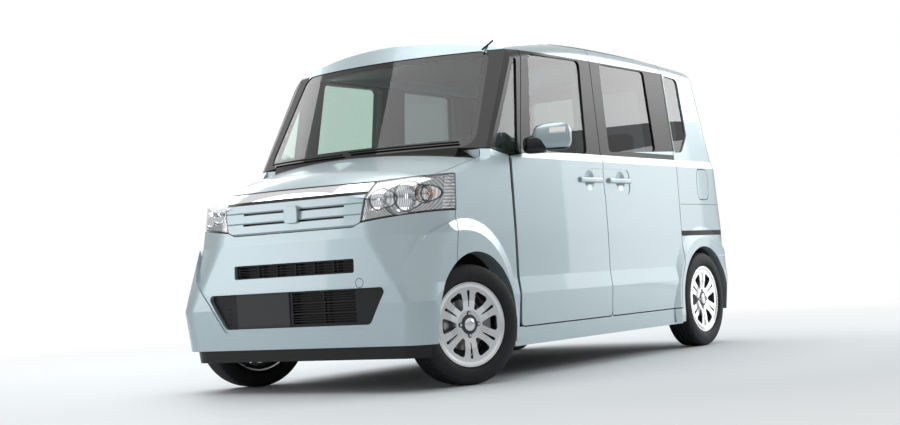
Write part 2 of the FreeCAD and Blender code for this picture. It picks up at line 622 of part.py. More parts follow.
WING = [(-1900, 240), (-872 - 3, 240), (-872 - 3, 1063), (-1088, 1103), (-1088, 1200), (-1900, 1200)]
wing = wall(side_prism(WING, 500, 900))
wing = wing.cut(bonnet_clear)
wing = wing.cut(front_prism(BUMPER_TOP, -1800, -1300).common(side_prism(BUMPER_SPLIT, -900, 900, GAP / 2)))
wing = wing.cut(lamp_clear.common(side_prism(HEADLAMP_SPLIT, 300, 900, GAP / 4)))
wing = wing.cut(front_prism(UPPER_GRILLE, -1800, -1400)).cut(hinge_swing)
wing = solids_of(wing)
add_node("front_wings", both(wing))

cowl = wall(block(0, ROOF_SIDE, -1400, -1062, 1000, 1112)).common(behind_screen(-16)).cut(screen_hole)
add_node("cowl_panel", whole(solids_of(cowl)))

# ---------------------------------------------------------------------------------------------------------
# Rear bumper, tail lamps and fuel lid
# ---------------------------------------------------------------------------------------------------------
rear_bumper = wall(side_prism(
    [(REAR_AXLE + 203, 50), (REAR_AXLE + 203, REAR_BUMPER_TOP - 3), (1900, REAR_BUMPER_TOP - 3), (1900, 50)],
    0, 900))
rear_bumper = rear_bumper.cut(block(0, 900, REAR_AXLE + 200, 1900, 0, REAR_BUMPER_BOTTOM))
rear_bumper = whole(solids_of(rear_bumper))
rear_bumper = rear_bumper.cut(block(-400, -260, 1500, 1900, 100, 272, 20))
add_node("rear_bumper", rear_bumper)

tail_lamp = wall(front_prism(TAIL_LAMP, 1400, 1900, -1).common(lamp_edge)).cut(tailgate_hole)
add_node("tail_lamps", both(solids_of(tail_lamp)))
fuel_lid = wall(left_wall(FUEL_LID, -GAP / 4)).cut(block(0, size("half_width") - 40, 0, 1800, 0, 1800))
add_node("fuel_lid", solids_of(fuel_lid))


# ---------------------------------------------------------------------------------------------------------
# Floor, bulkhead, wheel arch liners, engine, tank and exhaust
# ---------------------------------------------------------------------------------------------------------
FLOOR = size("floor_height")
SHEET = size("floor_sheet")
LUGGAGE_FLOOR = 480
FLOOR_PROFILE = [
    (-1140, 1060), (-1140, 820), (-905, 800), (-905, FLOOR - SHEET), (1000, FLOOR - SHEET),
    (1000, LUGGAGE_FLOOR - SHEET), (1600, LUGGAGE_FLOOR - SHEET), (1600, LUGGAGE_FLOOR),
    (980, LUGGAGE_FLOOR), (980, FLOOR), (-890, FLOOR), (-890, 820), (-1125, 838), (-1125, 1060),
]
LINER = size("liner")


def wheelhouse(axle, radius, x_inner):
    """Liner over one left wheel: a half drum with legs, closed on the inner side, up to the side wall."""
    hollow = arch_opening(axle, radius + 2, x_inner, 760)
    drum = arch_opening(axle, radius + 2 + LINER, x_inner - LINER, 750).cut(hollow)
    inside_body = cabin.fuse(under_floor)
    return drum.common(block(0, 760, -1800, 1800, 210, 900)).common(inside_body)


front_liner = wheelhouse(FRONT_AXLE, size("front_arch"), 400)
strut_hole = Part.makeCylinder(28, 300, Vector(536, FRONT_AXLE, 500))
front_liner = front_liner.cut(strut_hole).cut(block(380, 420, FRONT_AXLE - 75, FRONT_AXLE + 150, 100, 240))
rear_liner = wheelhouse(REAR_AXLE, size("rear_arch"), 530)
rear_liner = rear_liner.cut(rod((500, REAR_AXLE, AXLE_HEIGHT), (560, REAR_AXLE, AXLE_HEIGHT), 32))
liners = [solids_of(front_liner), solids_of(rear_liner)]
add_node("wheel_arch_liners", Part.makeCompound(liners + [mirrored(one) for one in liners]))
arch_blocks = [arch_opening(FRONT_AXLE, size("front_arch") + 2 + LINER, 400 - LINER, 900),
               arch_opening(REAR_AXLE, size("rear_arch") + 2 + LINER, 530 - LINER, 900)]
floor_pan = side_prism(FLOOR_PROFILE, -700, 700).common(inner)
for solid in arch_blocks + [flange]:
    floor_pan = floor_pan.cut(solid).cut(mirrored(solid))
add_node("floor_pan", solids_of(floor_pan))



def bound_box(name, corner, prefix, radius):
    """Box as a document feature, its sizes held to the sheet's cells, all its edges rounded."""
    box = doc.addObject("Part::Box", name + "_box")
    for key, part in (("Length", "width"), ("Width", "length"), ("Height", "height")):
        box.setExpression(key, f"Sizes.{prefix}_{part}")
    box.Placement = Placement(Vector(*corner), Rotation())
    doc.recompute()
    rounded = doc.addObject("Part::Fillet", name)
    rounded.Base = box
    rounded.Edges = [(number, radius, radius) for number in range(1, len(box.Shape.Edges) + 1)]
    rounded.Label = name
    nodes[name] = rounded


bound_box("engine", (-size("engine_width") / 2, -1500, 280), "engine", 20)
bound_box("fuel_tank", (-size("tank_width") / 2, -420, 170), "tank", 25)
exhaust = fused([
    rod((120, -1040, 240), (120, -480, 240), 22),
    rod((120, -480, 240), (-380, -480, 240), 22),
    rod((-380, -500, 240), (-380, 1400, 240), 22),
    block(-400, 250, 1380, 1540, 200, 330, 30),
    rod((-330, 1530, 245), (-330, 1690, 235), 20),
])
add_node("exhaust", exhaust)

# ---------------------------------------------------------------------------------------------------------
# Suspension: strut front axle on a cross member, twist-beam rear axle
# ---------------------------------------------------------------------------------------------------------
LOWER_BALL = 184        # height of the lower ball joint
KINGPIN = size("kingpin")
arm = fused([
    rod((330, FRONT_AXLE - 40, 215), (KINGPIN, FRONT_AXLE, LOWER_BALL), 14),
    rod((330, FRONT_AXLE + 130, 215), (KINGPIN, FRONT_AXLE, LOWER_BALL), 14),
    rod((KINGPIN, FRONT_AXLE, LOWER_BALL - 14), (KINGPIN, FRONT_AXLE, LOWER_BALL + 20.5), 9),
])
strut = fused([
    rod((536, FRONT_AXLE, 400), (536, FRONT_AXLE, 700), 24),
    rod((536, FRONT_AXLE, 640), (536, FRONT_AXLE, 760), 62),
    rod((300, FRONT_AXLE, 745), (536, FRONT_AXLE, 745), 12),
])
cross_member = fused([
    block(-360, 360, FRONT_AXLE - 70, FRONT_AXLE + 160, 190, 250, 10),
    block(330, 370, -1560, FRONT_AXLE + 350, 240, 300),
    block(-370, -330, -1560, FRONT_AXLE + 350, 240, 300),
    block(-380, 380, -1560, -1520, 250, 330),
])
TOW_X, TOW_Y = -345, -1590              # middle of the bore in the towing lug, a flat plate
TOW_BOTTOM, TOW_TOP = 200, 210
TOW_BORE = 13
TOW_EYE = 24                            # radius of the plate's end
tow_hook = fused([
    rod((TOW_X, TOW_Y, TOW_BOTTOM), (TOW_X, TOW_Y, TOW_TOP), TOW_EYE),
    block(TOW_X - TOW_EYE, TOW_X + TOW_EYE, TOW_Y, -1520, TOW_BOTTOM, TOW_TOP),
    block(TOW_X - 5, TOW_X + 5, -1560, -1520, TOW_BOTTOM + 5, 260),
])
tow_hook = tow_hook.cut(rod((TOW_X, TOW_Y, TOW_BOTTOM - 10), (TOW_X, TOW_Y, TOW_TOP + 10), TOW_BORE))
subframe = fused([cross_member, arm, mirrored(arm), tow_hook])
add_node("front_suspension", Part.makeCompound([subframe, strut, mirrored(strut)]))
axle_parts = [rod((-470, 1130, 300), (470, 1130, 300), 30)]
for side_sign in (1, -1):
    axle_parts.append(rod((side_sign * 480, 930, 258), (side_sign * 480, 1130, 300), 22))
    axle_parts.append(rod((side_sign * 470, 1130, 300), (side_sign * 500, REAR_AXLE, AXLE_HEIGHT), 22))
    axle_parts.append(rod((side_sign * 480, REAR_AXLE, AXLE_HEIGHT), (side_sign * 590, REAR_AXLE, AXLE_HEIGHT), 24))
    axle_parts.append(rod((side_sign * 482, REAR_AXLE, AXLE_HEIGHT), (side_sign * 482, REAR_AXLE + 20, 455), 18))
add_node("rear_axle", fused(axle_parts))

# ---------------------------------------------------------------------------------------------------------
# Wheels: PartDesign bodies in a frame whose +X points away from the car
# ---------------------------------------------------------------------------------------------------------
def origin_plane(body, role):
    """The body's own origin plane of that role."""
    return next(item for item in body.Origin.OriginFeatures if item.Role == role)


def closed_sketch(body, role, points, name, bound=()):
    """Sketch of lines and arcs through corners; bound lists (corner, axis, alias) held to the sheet."""
    sketch = body.newObject("Sketcher::SketchObject", name)
    sketch.AttachmentSupport = [(origin_plane(body, role), "")]
    sketch.MapMode = "FlatFace"
    curves = round_cornered(points, lambda a, b: Vector(a, b, 0))
    count = len(curves)
    for curve in curves:
        sketch.addGeometry(curve, False)
    for index in range(count):
        sketch.addConstraint(Sketcher.Constraint("Coincident", index, 2, (index + 1) % count, 1))
    for corner, axis, alias in bound:
        kind = "DistanceX" if axis == "x" else "DistanceY"
        value = points[corner][0 if axis == "x" else 1]
        number = sketch.addConstraint(Sketcher.Constraint(kind, -1, 1, corner, 1, value))
        sketch.setExpression(f"Constraints[{number}]", f"Sizes.{alias}")
    return sketch


def revolved(body, sketch, name):
    """Full turn of a sketch in the XY plane about the body's X axis."""
    turn = body.newObject("PartDesign::Revolution", name)
    turn.Profile = sketch
    turn.ReferenceAxis = (sketch, ["H_Axis"])
    turn.Angle = 360
    return turn


FACE = size("hub_face")
FLANGE = size("flange_radius")
BEAD = size("bead_radius")
HALF_RIM = size("rim_width") / 2
RIM_PROFILE = [
    (FACE, 0), (FACE, 72), (FACE + 4, 95), (FACE + 6, 158), (18, 158), (-22, 158), (-50, 170),
    (-HALF_RIM, FLANGE - 7), (-HALF_RIM, FLANGE), (-HALF_RIM + 8, FLANGE), (-HALF_RIM + 8, BEAD), (-30, BEAD - 2),
    (-20, BEAD - 12), (15, BEAD - 12), (25, BEAD - 2), (HALF_RIM - 9, BEAD), (HALF_RIM - 9, FLANGE),
    (HALF_RIM, FLANGE), (HALF_RIM, FLANGE - 9), (HALF_RIM - 4, 172), (FACE + 20, 110), (FACE + 14, 66),
    (FACE + 14, 34), (FACE + 18, 30), (FACE + 18, 0),
]
RIM_BOUND = [(0, "x", "hub_face"), (8, "y", "flange_radius"), (10, "y", "bead_radius")]


def polar_corners(rows, turn):
    """Corners (a, b, corner radius) from rows (radius, angle in degrees, corner radius), turned by turn."""
    corners = []
    for radius, angle, corner in rows:
        radians = math.radians(angle + turn)
        corners.append((radius * math.cos(radians), radius * math.sin(radians), corner))
    return corners


# Openings of the wheel: radius, angle, corner radius.  A window lies between two pairs of spokes, a slot
# between the two spokes of a pair.
WINDOW = [(74, -5.5, 6), (112, -12.5, 30), (159, -14.5, 13), (159, 14.5, 13), (112, 12.5, 30), (74, 5.5, 6)]
SLOT = [(82, -1.6, 1.5), (157, -2.8, 5), (157, 2.8, 5), (82, 1.6, 1.5)]


def rim_body(name):
    """Cast wheel: revolved barrel and face, opened into pairs of spokes."""
    body = doc.addObject("PartDesign::Body", name)
    profile = closed_sketch(body, "XY_Plane", RIM_PROFILE, name + "_profile", RIM_BOUND)
    revolved(body, profile, name + "_blank")
    doc.recompute()
    pockets = []
    pitch = 360 / size("spoke_count")
    for label, rows, turn in (("window", WINDOW, 0), ("slot", SLOT, pitch / 2)):
        corners = polar_corners(rows, turn)
        opening = closed_sketch(body, "YZ_Plane", corners, f"{name}_{label}_outline")
        pocket = body.newObject("PartDesign::Pocket", f"{name}_{label}")
        pocket.Profile = opening
        pocket.Type = 1
        pocket.Reversed = True
        pockets.append(pocket)
        doc.recompute()
    pattern = body.newObject("PartDesign::PolarPattern", name + "_pattern")
    pattern.Originals = pockets
    pattern.Axis = (profile, ["H_Axis"])
    pattern.Angle = 360
    pattern.setExpression("Occurrences", "Sizes.spoke_count")
    body.Tip = pattern
    doc.recompute()
    return body


TREAD = size("tread_width") / 2
TYRE_HALF = size("tyre_width") / 2
TYRE = size("tyre_radius")
TYRE_PROFILE = [
    (-TREAD, TYRE), (-TREAD - 13, TYRE - 12), (-TYRE_HALF, TYRE - 46), (-56, FLANGE + 3), (-56, BEAD + 0.5),
    (-44, BEAD + 0.5), (-TYRE_HALF + 12, TYRE - 46), (-TREAD, TYRE - 14),
]
TYRE_PROFILE = TYRE_PROFILE + [(-a, b) for a, b in reversed(TYRE_PROFILE)]


def tyre_body(name):
    """Tyre: tread, shoulders and side walls round an air space."""
    body = doc.addObject("PartDesign::Body", name)
    profile = closed_sketch(body, "XY_Plane", TYRE_PROFILE, name + "_profile", [(0, "y", "tyre_radius")])
    revolved(body, profile, name + "_turn")
    doc.recompute()
    return body


# Wheels: name, side of the car, x of the steering axis or 0, axle, turned as parked
OFFSET = size("half_track") - size("kingpin")
WHEELS = [
    ("front_left", 1, FRONT_AXLE, -size("rest_steer")),
    ("front_right", -1, FRONT_AXLE, -size("rest_steer")),
    ("rear_left", 1, REAR_AXLE, 0),
    ("rear_right", -1, REAR_AXLE, 0),
]
wheel_places = {}
for name, sign, axle, angle in WHEELS:
    radians = math.radians(angle)
    x = sign * (size("kingpin") + OFFSET * math.cos(radians))
    y = axle + sign * OFFSET * math.sin(radians)
    heading = angle + (0 if sign > 0 else 180)
    place = Placement(Vector(x, y, AXLE_HEIGHT), Rotation(Vector(0, 0, 1), heading))
    wheel_places[name] = place
    for kind, maker in (("rim", rim_body), ("tyre", tyre_body)):
        node_name = f"{kind}_{name}"
        wheel = maker(node_name)
        wheel.Placement = place
        wheel.Label = node_name
        nodes[node_name] = wheel

# Brakes and knuckles, drawn in the wheel's frame and then put in place
knuckle = fused([
    rod((-OFFSET - 18, 0, 0), (6, 0, 0), 44),
    rod((-OFFSET, 0, 0), (-OFFSET, 0, -72), 16),
    rod((-OFFSET - 6, 0, 0), (-OFFSET - 58, 0, 80), 16),
    rod((-OFFSET - 10, 0, -20), (-OFFSET - 14, 120, -30), 12),
    block(-34, -10, 30, 126, -34, 40, 4),
])
caliper = block(-34, 36, 66, 138, -42, 46, 6)
caliper = caliper.cut(Part.makeCylinder(size("disc_radius") + 5, 30, Vector(-8, 0, 0), Vector(1, 0, 0)))
knuckle = fused([knuckle, caliper])


def lying_cylinder(name, start, **bound):
    """Cylinder along the wheel's axle from x = start; bound gives its sizes as cells of the sheet."""
    item = doc.addObject("Part::Cylinder", name)
    item.Placement = Placement(Vector(start, 0, 0), Rotation(Vector(0, 1, 0), 90))
    for key, formula in bound.items():
        item.setExpression(key, formula)
    return item


def brake(name, body, hat, hollow):
    """Rotor as a document feature: body with an optional hat, less its hollow."""
    solid = body
    if hat:
        solid = doc.addObject("Part::Fuse", name + "_blank")
        solid.Base = body
        solid.Tool = hat
    rotor = doc.addObject("Part::Cut", name)
    rotor.Base = solid
    rotor.Tool = hollow
    rotor.Label = name
    nodes[name] = rotor
    return rotor


for name, sign, axle, angle in WHEELS:
    front = axle == FRONT_AXLE
    if front:
        full_name = "brake_disc_" + name
        plate = lying_cylinder(full_name + "_plate", -2, Radius="Sizes.disc_radius", Height="Sizes.disc_thickness")
        hat = lying_cylinder(full_name + "_hat", 10, Radius="Sizes.stud_circle + 12", Height="Sizes.hub_face - 10")
        hollow = lying_cylinder(full_name + "_hollow", -10, Radius="Sizes.stud_circle + 2", Height="22")
        rotor = brake(full_name, plate, hat, hollow)
    else:
        full_name = "brake_drum_" + name
        start = FACE - size("drum_depth")
        shell = lying_cylinder(full_name + "_shell", start, Radius="Sizes.drum_radius", Height="Sizes.drum_depth")
        hollow = lying_cylinder(full_name + "_hollow", start - 1, Radius="Sizes.drum_radius - 8", Height="50")
        rotor = brake(full_name, shell, None, hollow)
    rotor.Placement = wheel_places[name]
    if front:
        carrier = knuckle.copy() if sign > 0 else knuckle.mirror(Vector(0, 0, 0), Vector(0, 1, 0))
        carrier.Placement = wheel_places[name]
        add_node("knuckle_" + name.split("_")[1], carrier)

# ---------------------------------------------------------------------------------------------------------
# Cabin: dashboard, steering wheel and seats
# ---------------------------------------------------------------------------------------------------------
DASH_PROFILE = [
    (-1118, 845, 10), (-1118, 1062, 20), (-980, 1078, 40), (-700, 1030, 40), (-650, 960, 30),
    (-690, 850, 30), (-760, 830, 10),
]

SEAT_BACK = [(110, 600, 40), (230, 1120, 40), (330, 1120, 40), (250, 520, 60), (120, 500, 20)]
SEAT_CUSHION = [(-330, 520, 20), (-340, 640, 50), (-200, 655, 60), (150, 620, 20), (240, 500, 20), (-200, 500, 20)]
HEADREST = [(262, 1128, 20), (272, 1300, 35), (345, 1300, 35), (338, 1128, 20)]


def seat(x_from, x_to, rests, shift, legs_from):
    """Seat between x_from and x_to, moved rearwards by shift, with headrests at the places in rests."""
    parts = [
        side_prism(SEAT_CUSHION, x_from, x_to),
        side_prism(SEAT_BACK, x_from, x_to),
        block(x_from + 40, x_to - 40, -250, 180, legs_from, 520),
    ]
    for middle in rests:
        parts.append(side_prism(HEADREST, middle - 130, middle + 130))
        parts.append(block(middle - 60, middle + 60, 285, 315, 1080, 1180))
    whole_seat = fused(parts)
    whole_seat.translate(Vector(0, shift, 0))
    return whole_seat


add_node("front_seats", both(seat(40, 600, [330], 0, FLOOR)))
add_node("rear_seat", seat(-600, 600, [-320, 320], 720, FLOOR))

STEERING = Placement(Vector(-330, -560, 985), Rotation(Vector(1, 0, 0), -62))
ring = Part.makeTorus(size("steering_radius"), size("steering_grip"))
spokes = [rod((0, 0, -10), (size("steering_radius") * math.cos(a), size("steering_radius") * math.sin(a), 0), 12)
          for a in (0, math.pi, -math.pi / 2)]
steering_wheel = fused([ring, Part.makeCylinder(60, 40, Vector(0, 0, -34))] + spokes)
steering_wheel.Placement = STEERING
add_node("steering_wheel", steering_wheel)
column = rod((0, 0, -42), (0, 0, -150), 30)
column.Placement = STEERING
dashboard = solids_of(side_prism(DASH_PROFILE, -700, 700).common(deep))
add_node("dashboard", fused([dashboard, column]))

# ---------------------------------------------------------------------------------------------------------
# Small outer pieces: mirrors, wipers, aerial, sliding door rails
# ---------------------------------------------------------------------------------------------------------
MIRROR_YAW = 18         # the shell's outer end is swept back
shell = block(-98, 98, -44, 44, -68, 68, 26)
shell = shell.cut(block(-84, 84, 36, 60, -54, 54))
shell.Placement = Placement(Vector(858, -704, 1150), Rotation(Vector(0, 0, 1), MIRROR_YAW))
foot = side_prism([(-778, 1070, 8), (-764, 1112, 12), (-690, 1112, 12), (-682, 1070, 8)], 700, 742)
arm = fused([rod((725, -735, 1092), (800, -715, 1096), 16), rod((800, -715, 1080), (800, -715, 1120), 22)])
mirror = fused([shell, foot, arm])
mirror = solids_of(mirror.cut(outer))
add_node("mirror_left", mirror)
add_node("mirror_right", mirrored(mirror))


def screen_point(x, z, out):
    """Point on the windscreen at x and z, moved forwards by out."""
    lean = math.cos(math.atan(SCREEN_SLOPE))
    sag = (SCREEN_RADIUS - math.sqrt(SCREEN_RADIUS ** 2 - x ** 2)) / lean
    return (x, SCREEN_BASE[0] + (z - SCREEN_BASE[1]) * SCREEN_SLOPE + sag - out / lean, z)


BLADE = 5               # radius of a wiper blade
AERIAL_FOOT = (548, -800, 1608)
AERIAL_TIP = (566, -728, 1656)
wipers = []
for x_from, x_to, z in ((-600, -60, 1130), (-20, 560, 1138)):
    points = [Vector(*screen_point(x, z, BLADE + 2.5)) for x in (x_from, (x_from + x_to) / 2, x_to)]
    arc = Part.Arc(*points).toShape()
    section = Part.Wire([Part.Circle(points[0], arc.tangentAt(arc.FirstParameter), BLADE).toShape()])
    wipers.append(Part.Wire([arc]).makePipeShell([section], True, True))
add_node("wipers", Part.makeCompound(wipers))
REAR_LEAN = -192 / 700          # mm rearwards for each mm upwards of the tailgate above the belt
REAR_BELT = (1640, 1100)        # y and z of its lower end


def tailgate_point(x, z, out):
    """Point at x and z, out behind the tailgate's skin."""
    return (x, REAR_BELT[0] + (z - REAR_BELT[1]) * REAR_LEAN + out, z)


wiper_pivot = rod(tailgate_point(0, 1124, -2), tailgate_point(0, 1124, 24), 17)
wiper_arm = rod(tailgate_point(0, 1124, 14), tailgate_point(-330, 1188, 8), 6)
add_node("rear_wiper", fused([wiper_pivot, wiper_arm]).cut(outer))
add_node("aerial", rod(AERIAL_FOOT, AERIAL_TIP, 5).cut(outer))

doc.recompute()
for item in doc.Objects:
    if "Invalid" in item.State or "Error" in item.State:
        raise RuntimeError(f"{item.Name} did not build")
for name, node in nodes.items():
    if node.Shape.isNull() or not node.Shape.isValid():
        raise RuntimeError(f"{name} is not a valid solid")
os.makedirs("parts", exist_ok=True)
for name, node in nodes.items():
    node.Shape.exportStep(f"parts/{name}.step")
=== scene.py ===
import json

import bmesh
import bpy
import numpy as np
from mathutils import Matrix


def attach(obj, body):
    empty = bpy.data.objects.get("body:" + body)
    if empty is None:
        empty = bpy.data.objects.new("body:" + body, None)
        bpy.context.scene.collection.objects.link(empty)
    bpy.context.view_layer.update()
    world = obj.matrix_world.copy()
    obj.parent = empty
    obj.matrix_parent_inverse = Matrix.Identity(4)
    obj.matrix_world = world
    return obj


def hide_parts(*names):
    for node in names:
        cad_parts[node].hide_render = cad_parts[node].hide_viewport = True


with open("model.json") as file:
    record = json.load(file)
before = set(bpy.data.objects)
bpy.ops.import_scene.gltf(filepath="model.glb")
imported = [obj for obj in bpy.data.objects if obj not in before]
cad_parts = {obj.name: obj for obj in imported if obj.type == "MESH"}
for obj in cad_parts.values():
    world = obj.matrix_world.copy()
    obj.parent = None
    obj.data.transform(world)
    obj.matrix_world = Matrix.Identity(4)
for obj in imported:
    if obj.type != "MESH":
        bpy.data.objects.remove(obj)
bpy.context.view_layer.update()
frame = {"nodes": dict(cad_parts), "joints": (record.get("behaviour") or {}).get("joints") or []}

# ---------------------------------------------------------------------------------------------------------
# Body panels: pressed steel with a pale blue-green metallic paint under a clear coat.
# Fine aluminium flakes in the base coat catch the light, and the clear coat mirrors the surroundings.
# The bonnet, wings and fuel lid are bolted or hinged on; the rear bumper is moulded and painted to match.
# ---------------------------------------------------------------------------------------------------------


class Shade:
    """A socket of a material. Arithmetic on it, or with it, adds Math nodes to the same material."""

    COLOUR_IN, COLOUR_OUT = 6, 2    # the Mix node's first colour socket, and the colour that it gives

    def __init__(self, tree, socket):
        self.tree = tree
        self.socket = socket

    def node(self, kind, settings=None, sockets=None, out=0):
        """Any other node: its settings are set first, then the values or links of its sockets."""
        made = self.tree.nodes.new("ShaderNode" + kind)
        for name, value in (settings or {}).items():
            setattr(made, name, value)
        for name, value in (sockets or {}).items():
            if isinstance(value, Shade):
                self.tree.links.new(value.socket, made.inputs[name])
            else:
                made.inputs[name].default_value = value
        return Shade(self.tree, made.outputs[out])

    def maths(self, operation, first, second=0.5):
        """A Math node on two values; a sine or a size takes only the first."""
        return self.node("Math", {"operation": operation}, {0: first, 1: second})

    def __add__(self, other):
        return self.maths("ADD", self, other)

    __radd__ = __add__

    def __sub__(self, other):
        return self.maths("SUBTRACT", self, other)

    def __rsub__(self, other):
        return self.maths("SUBTRACT", other, self)

    def __mul__(self, other):
        return self.maths("MULTIPLY", self, other)

    __rmul__ = __mul__

    def __truediv__(self, other):
        return self.maths("DIVIDE", self, other)

    def __pow__(self, other):
        """A square is a product, because a Math node's power needs a positive base."""
        return self * self if other == 2 else self.maths("POWER", self, other)

    def __gt__(self, other):
        return self.maths("GREATER_THAN", self, other)

    def __lt__(self, other):
        return self.maths("LESS_THAN", self, other)

    def size(self):
        """The value without its sign."""
        return self.maths("ABSOLUTE", self)

    def at_least(self, floor):
        """The larger of this and a floor."""
        return self.maths("MAXIMUM", self, floor)

    def at_most(self, ceiling):
        """The smaller of this and a ceiling."""
        return self.maths("MINIMUM", self, ceiling)

    def axes(self):
        """The x, y and z of a vector as three sockets."""
        split = self.tree.nodes.new("ShaderNodeSeparateXYZ")
        self.tree.links.new(self.socket, split.inputs[0])
        return [Shade(self.tree, split.outputs[i]) for i in range(3)]

    def noise(self, scale, detail=2.0, rough=0.5):
        """Smooth noise from 0 to 1 with features about 1/scale metres across."""
        values = {"Vector": self, "Scale": scale, "Detail": detail, "Roughness": rough}
        return self.node("TexNoise", None, values)

    def between(self, low, high):
        """This factor mixes two colours, or two sockets that carry colours."""
        colours = {"Factor": self, self.COLOUR_IN: low, self.COLOUR_IN + 1: high}
        return self.node("Mix", {"data_type": "RGBA"}, colours, self.COLOUR_OUT)

    def mix(self, low, high):
        """This factor mixes two plain numbers or sockets."""
        return low * (1 - self) + high * self

    def wave(self):
        """A sine of this angle in radians, from 0 to 1."""
        return self.maths("SINE", self) * 0.5 + 0.5

    def bump(self, height_mm, strength=1.0):
        """A normal for this height, in the given number of millimetres."""
        values = {"Height": self, "Distance": height_mm / 1000, "Strength": strength}
        return self.node("Bump", None, values)


def finish(name, colour, rough, metal=0.0, **sockets):
    """A material of one Principled shader: returns it, its shader and its Object coordinates."""
    material = bpy.data.materials.new(name)
    material.use_nodes = True
    tree = material.node_tree
    shader = tree.nodes["Principled BSDF"]
    shader.inputs["Base Color"].default_value = (*colour, 1)
    shader.inputs["Roughness"].default_value = rough
    shader.inputs["Metallic"].default_value = metal
    for socket, value in sockets.items():
        shader.inputs[socket.replace("_", " ")].default_value = value
    place = Shade(tree, tree.nodes.new("ShaderNodeTexCoord").outputs["Object"])
    return material, shader, place


def feed(shader, **sockets):
    """Links sockets of a shader to what varies over the surface, and sets those that get a plain number."""
    for socket, value in sockets.items():
        held = shader.inputs[socket.replace("_", " ")]
        if isinstance(value, Shade):
            value.tree.links.new(value.socket, held)
        else:
            held.default_value = value


BODY_LOW = (0.375, 0.468, 0.505, 1)     # the base coat between flakes
BODY_HIGH = (0.515, 0.618, 0.655, 1)    # the same on the brightest flakes
FLAKE_METAL, PAINT_ROUGH, CLEAR_COAT = 0.55, 0.36, 0.6
# The film's black also serves as painted shade in gaps, seams and slots
FILM_AND_SHADE_BLACK = (0.012, 0.011, 0.012, 1)
TRIM_GREY = (0.10, 0.10, 0.10, 1)
CHROME = (0.86, 0.86, 0.87, 1)


def body_paint(name, black=None, trim=None, trim_colour=TRIM_GREY, chrome=None):
    """Metallic paint; black, trim and chrome give, from the coordinates, where it is covered by black film
    or painted black as the shade in gaps and slots, by cabin trim or by plating."""
    material, shader, place = finish(name, BODY_LOW[:3], PAINT_ROUGH, FLAKE_METAL,
                                     Coat_Roughness=0.03, Specular_IOR_Level=0.3)
    flakes = place.noise(2600, 1.0)
    tone = (flakes - 0.5) * 0.25 + (place.noise(3) - 0.5) * 0.08 + 0.5
    colour = tone.between(BODY_LOW, BODY_HIGH)
    metal, coat = FLAKE_METAL, CLEAR_COAT
    rough = PAINT_ROUGH + (flakes - 0.5) * 0.12
    covers = [(black, FILM_AND_SHADE_BLACK, 0, 0.32), (trim, trim_colour, 0, 0.7), (chrome, CHROME, 1, 0.06)]
    for where, cover_colour, cover_metal, cover_rough in covers:
        if where:
            mask = where(*place.axes())
            colour = mask.between(colour, cover_colour)
            metal = mask.mix(metal, cover_metal)
            rough = mask.mix(rough, cover_rough)
            coat = mask.mix(coat, 0)
    feed(shader, Base_Color=colour, Metallic=metal, Roughness=rough, Coat_Weight=coat)
    feed(shader, Normal=place.noise(900, 1.0).bump(0.01, 0.15))
    return material


def paint_nodes(material, *names):
    """Gives CAD nodes one material."""
    for name in names:
        for held in frame["nodes"][name].material_slots:
            held.material = material


paint = body_paint("pale_blue_paint")
paint_nodes(paint, "bonnet", "front_wings", "rear_bumper", "fuel_lid")

# ---------------------------------------------------------------------------------------------------------
# Roof, side frames, doors and tailgate: the same paint outside, gloss black film on the pillars and window
# frames, and moulded trim or cloth lining on the cabin side.
# ---------------------------------------------------------------------------------------------------------
WALL_HALF = 0.03                        # the lining starts this far inside the outer face
BELT = (-0.79, 1.077, 0.0405)           # the film's lower edge: y of its start, height there, rise
QUARTER = (1.14, 1.0, 0.083)            # the film's rear edge: a height, y there, how far it leans forwards
FILM_TOP = 1.606
ROOF_EDGE = 1.6                         # above it the sides round over into the roof
SIDE = (0.7205, 1.065, 0.085)           # half width up to the belt, belt height, lean inwards above it
REAR_CORNER = 1.44                      # behind it the sides round over into the tail
SEAM = 0.84                             # height of the seam under the fuel lid
GAP_HALF = 0.0014                       # half the width of a seam or gap drawn as painted shade
GRIP_CUPS = ((-0.26, 0.04), (0.10, 0.42), (0.89, 1.04))     # front cups, rear cups (y) and both (z)
GAP_SHADE_DEPTH = 0.009                      # painted shade in the gaps round a door starts this far inside the outer face
TAIL = (1.648, 1.08, 0.275)             # the tailgate's y up to the belt, belt height, lean above it
ROOF = (1.771, 0.15, 0.0893, 0.217)     # height of the roof's top, its y, and its fall along and across
ROOF_WALL, SCREEN_TOP = 0.02, -0.74     # thickness of the roof, and y of the windscreen's upper edge
HEADLINER = (0.42, 0.41, 0.38, 1)


def between(value, low, high):
    """1 where a value lies between two others."""
    return (value > low) * (value < high)


def pillar_film(x, y, z):
    """1 on the black film: from the windscreen to the quarter glass, between belt line and roof edge."""
    low = BELT[1] + (y - BELT[0]) * BELT[2]
    rear_edge = QUARTER[1] - (z - QUARTER[0]) * QUARTER[2]
    return (z > low) * (z < FILM_TOP) * (y < rear_edge)


def side_gaps(x, y, z):
    """1 on the black film, and on painted shade along the seam across the rear quarter under the fuel lid.
    """
    # Painted shade: the seam is a thin dark line in the colour, not a groove
    seam = between(z, SEAM - GAP_HALF, SEAM + GAP_HALF) * between(y, 1.0, 1.62)
    return (pillar_film(x, y, z) + seam) > 0.5


def below_roof(z):
    """1 under the rounded edge between side and roof."""
    return z < ROOF_EDGE


def skin_depth(x, z):
    """How far a point lies inside the side's outer face, which leans inwards above the belt."""
    return SIDE[0] - (z - SIDE[1]).at_least(0.0) * SIDE[2] - x.size()


def side_lining(x, y, z):
    """1 on the cabin side of a side wall, ahead of the rounded rear corner."""
    return (skin_depth(x, z) > WALL_HALF) * below_roof(z) * (y < REAR_CORNER)


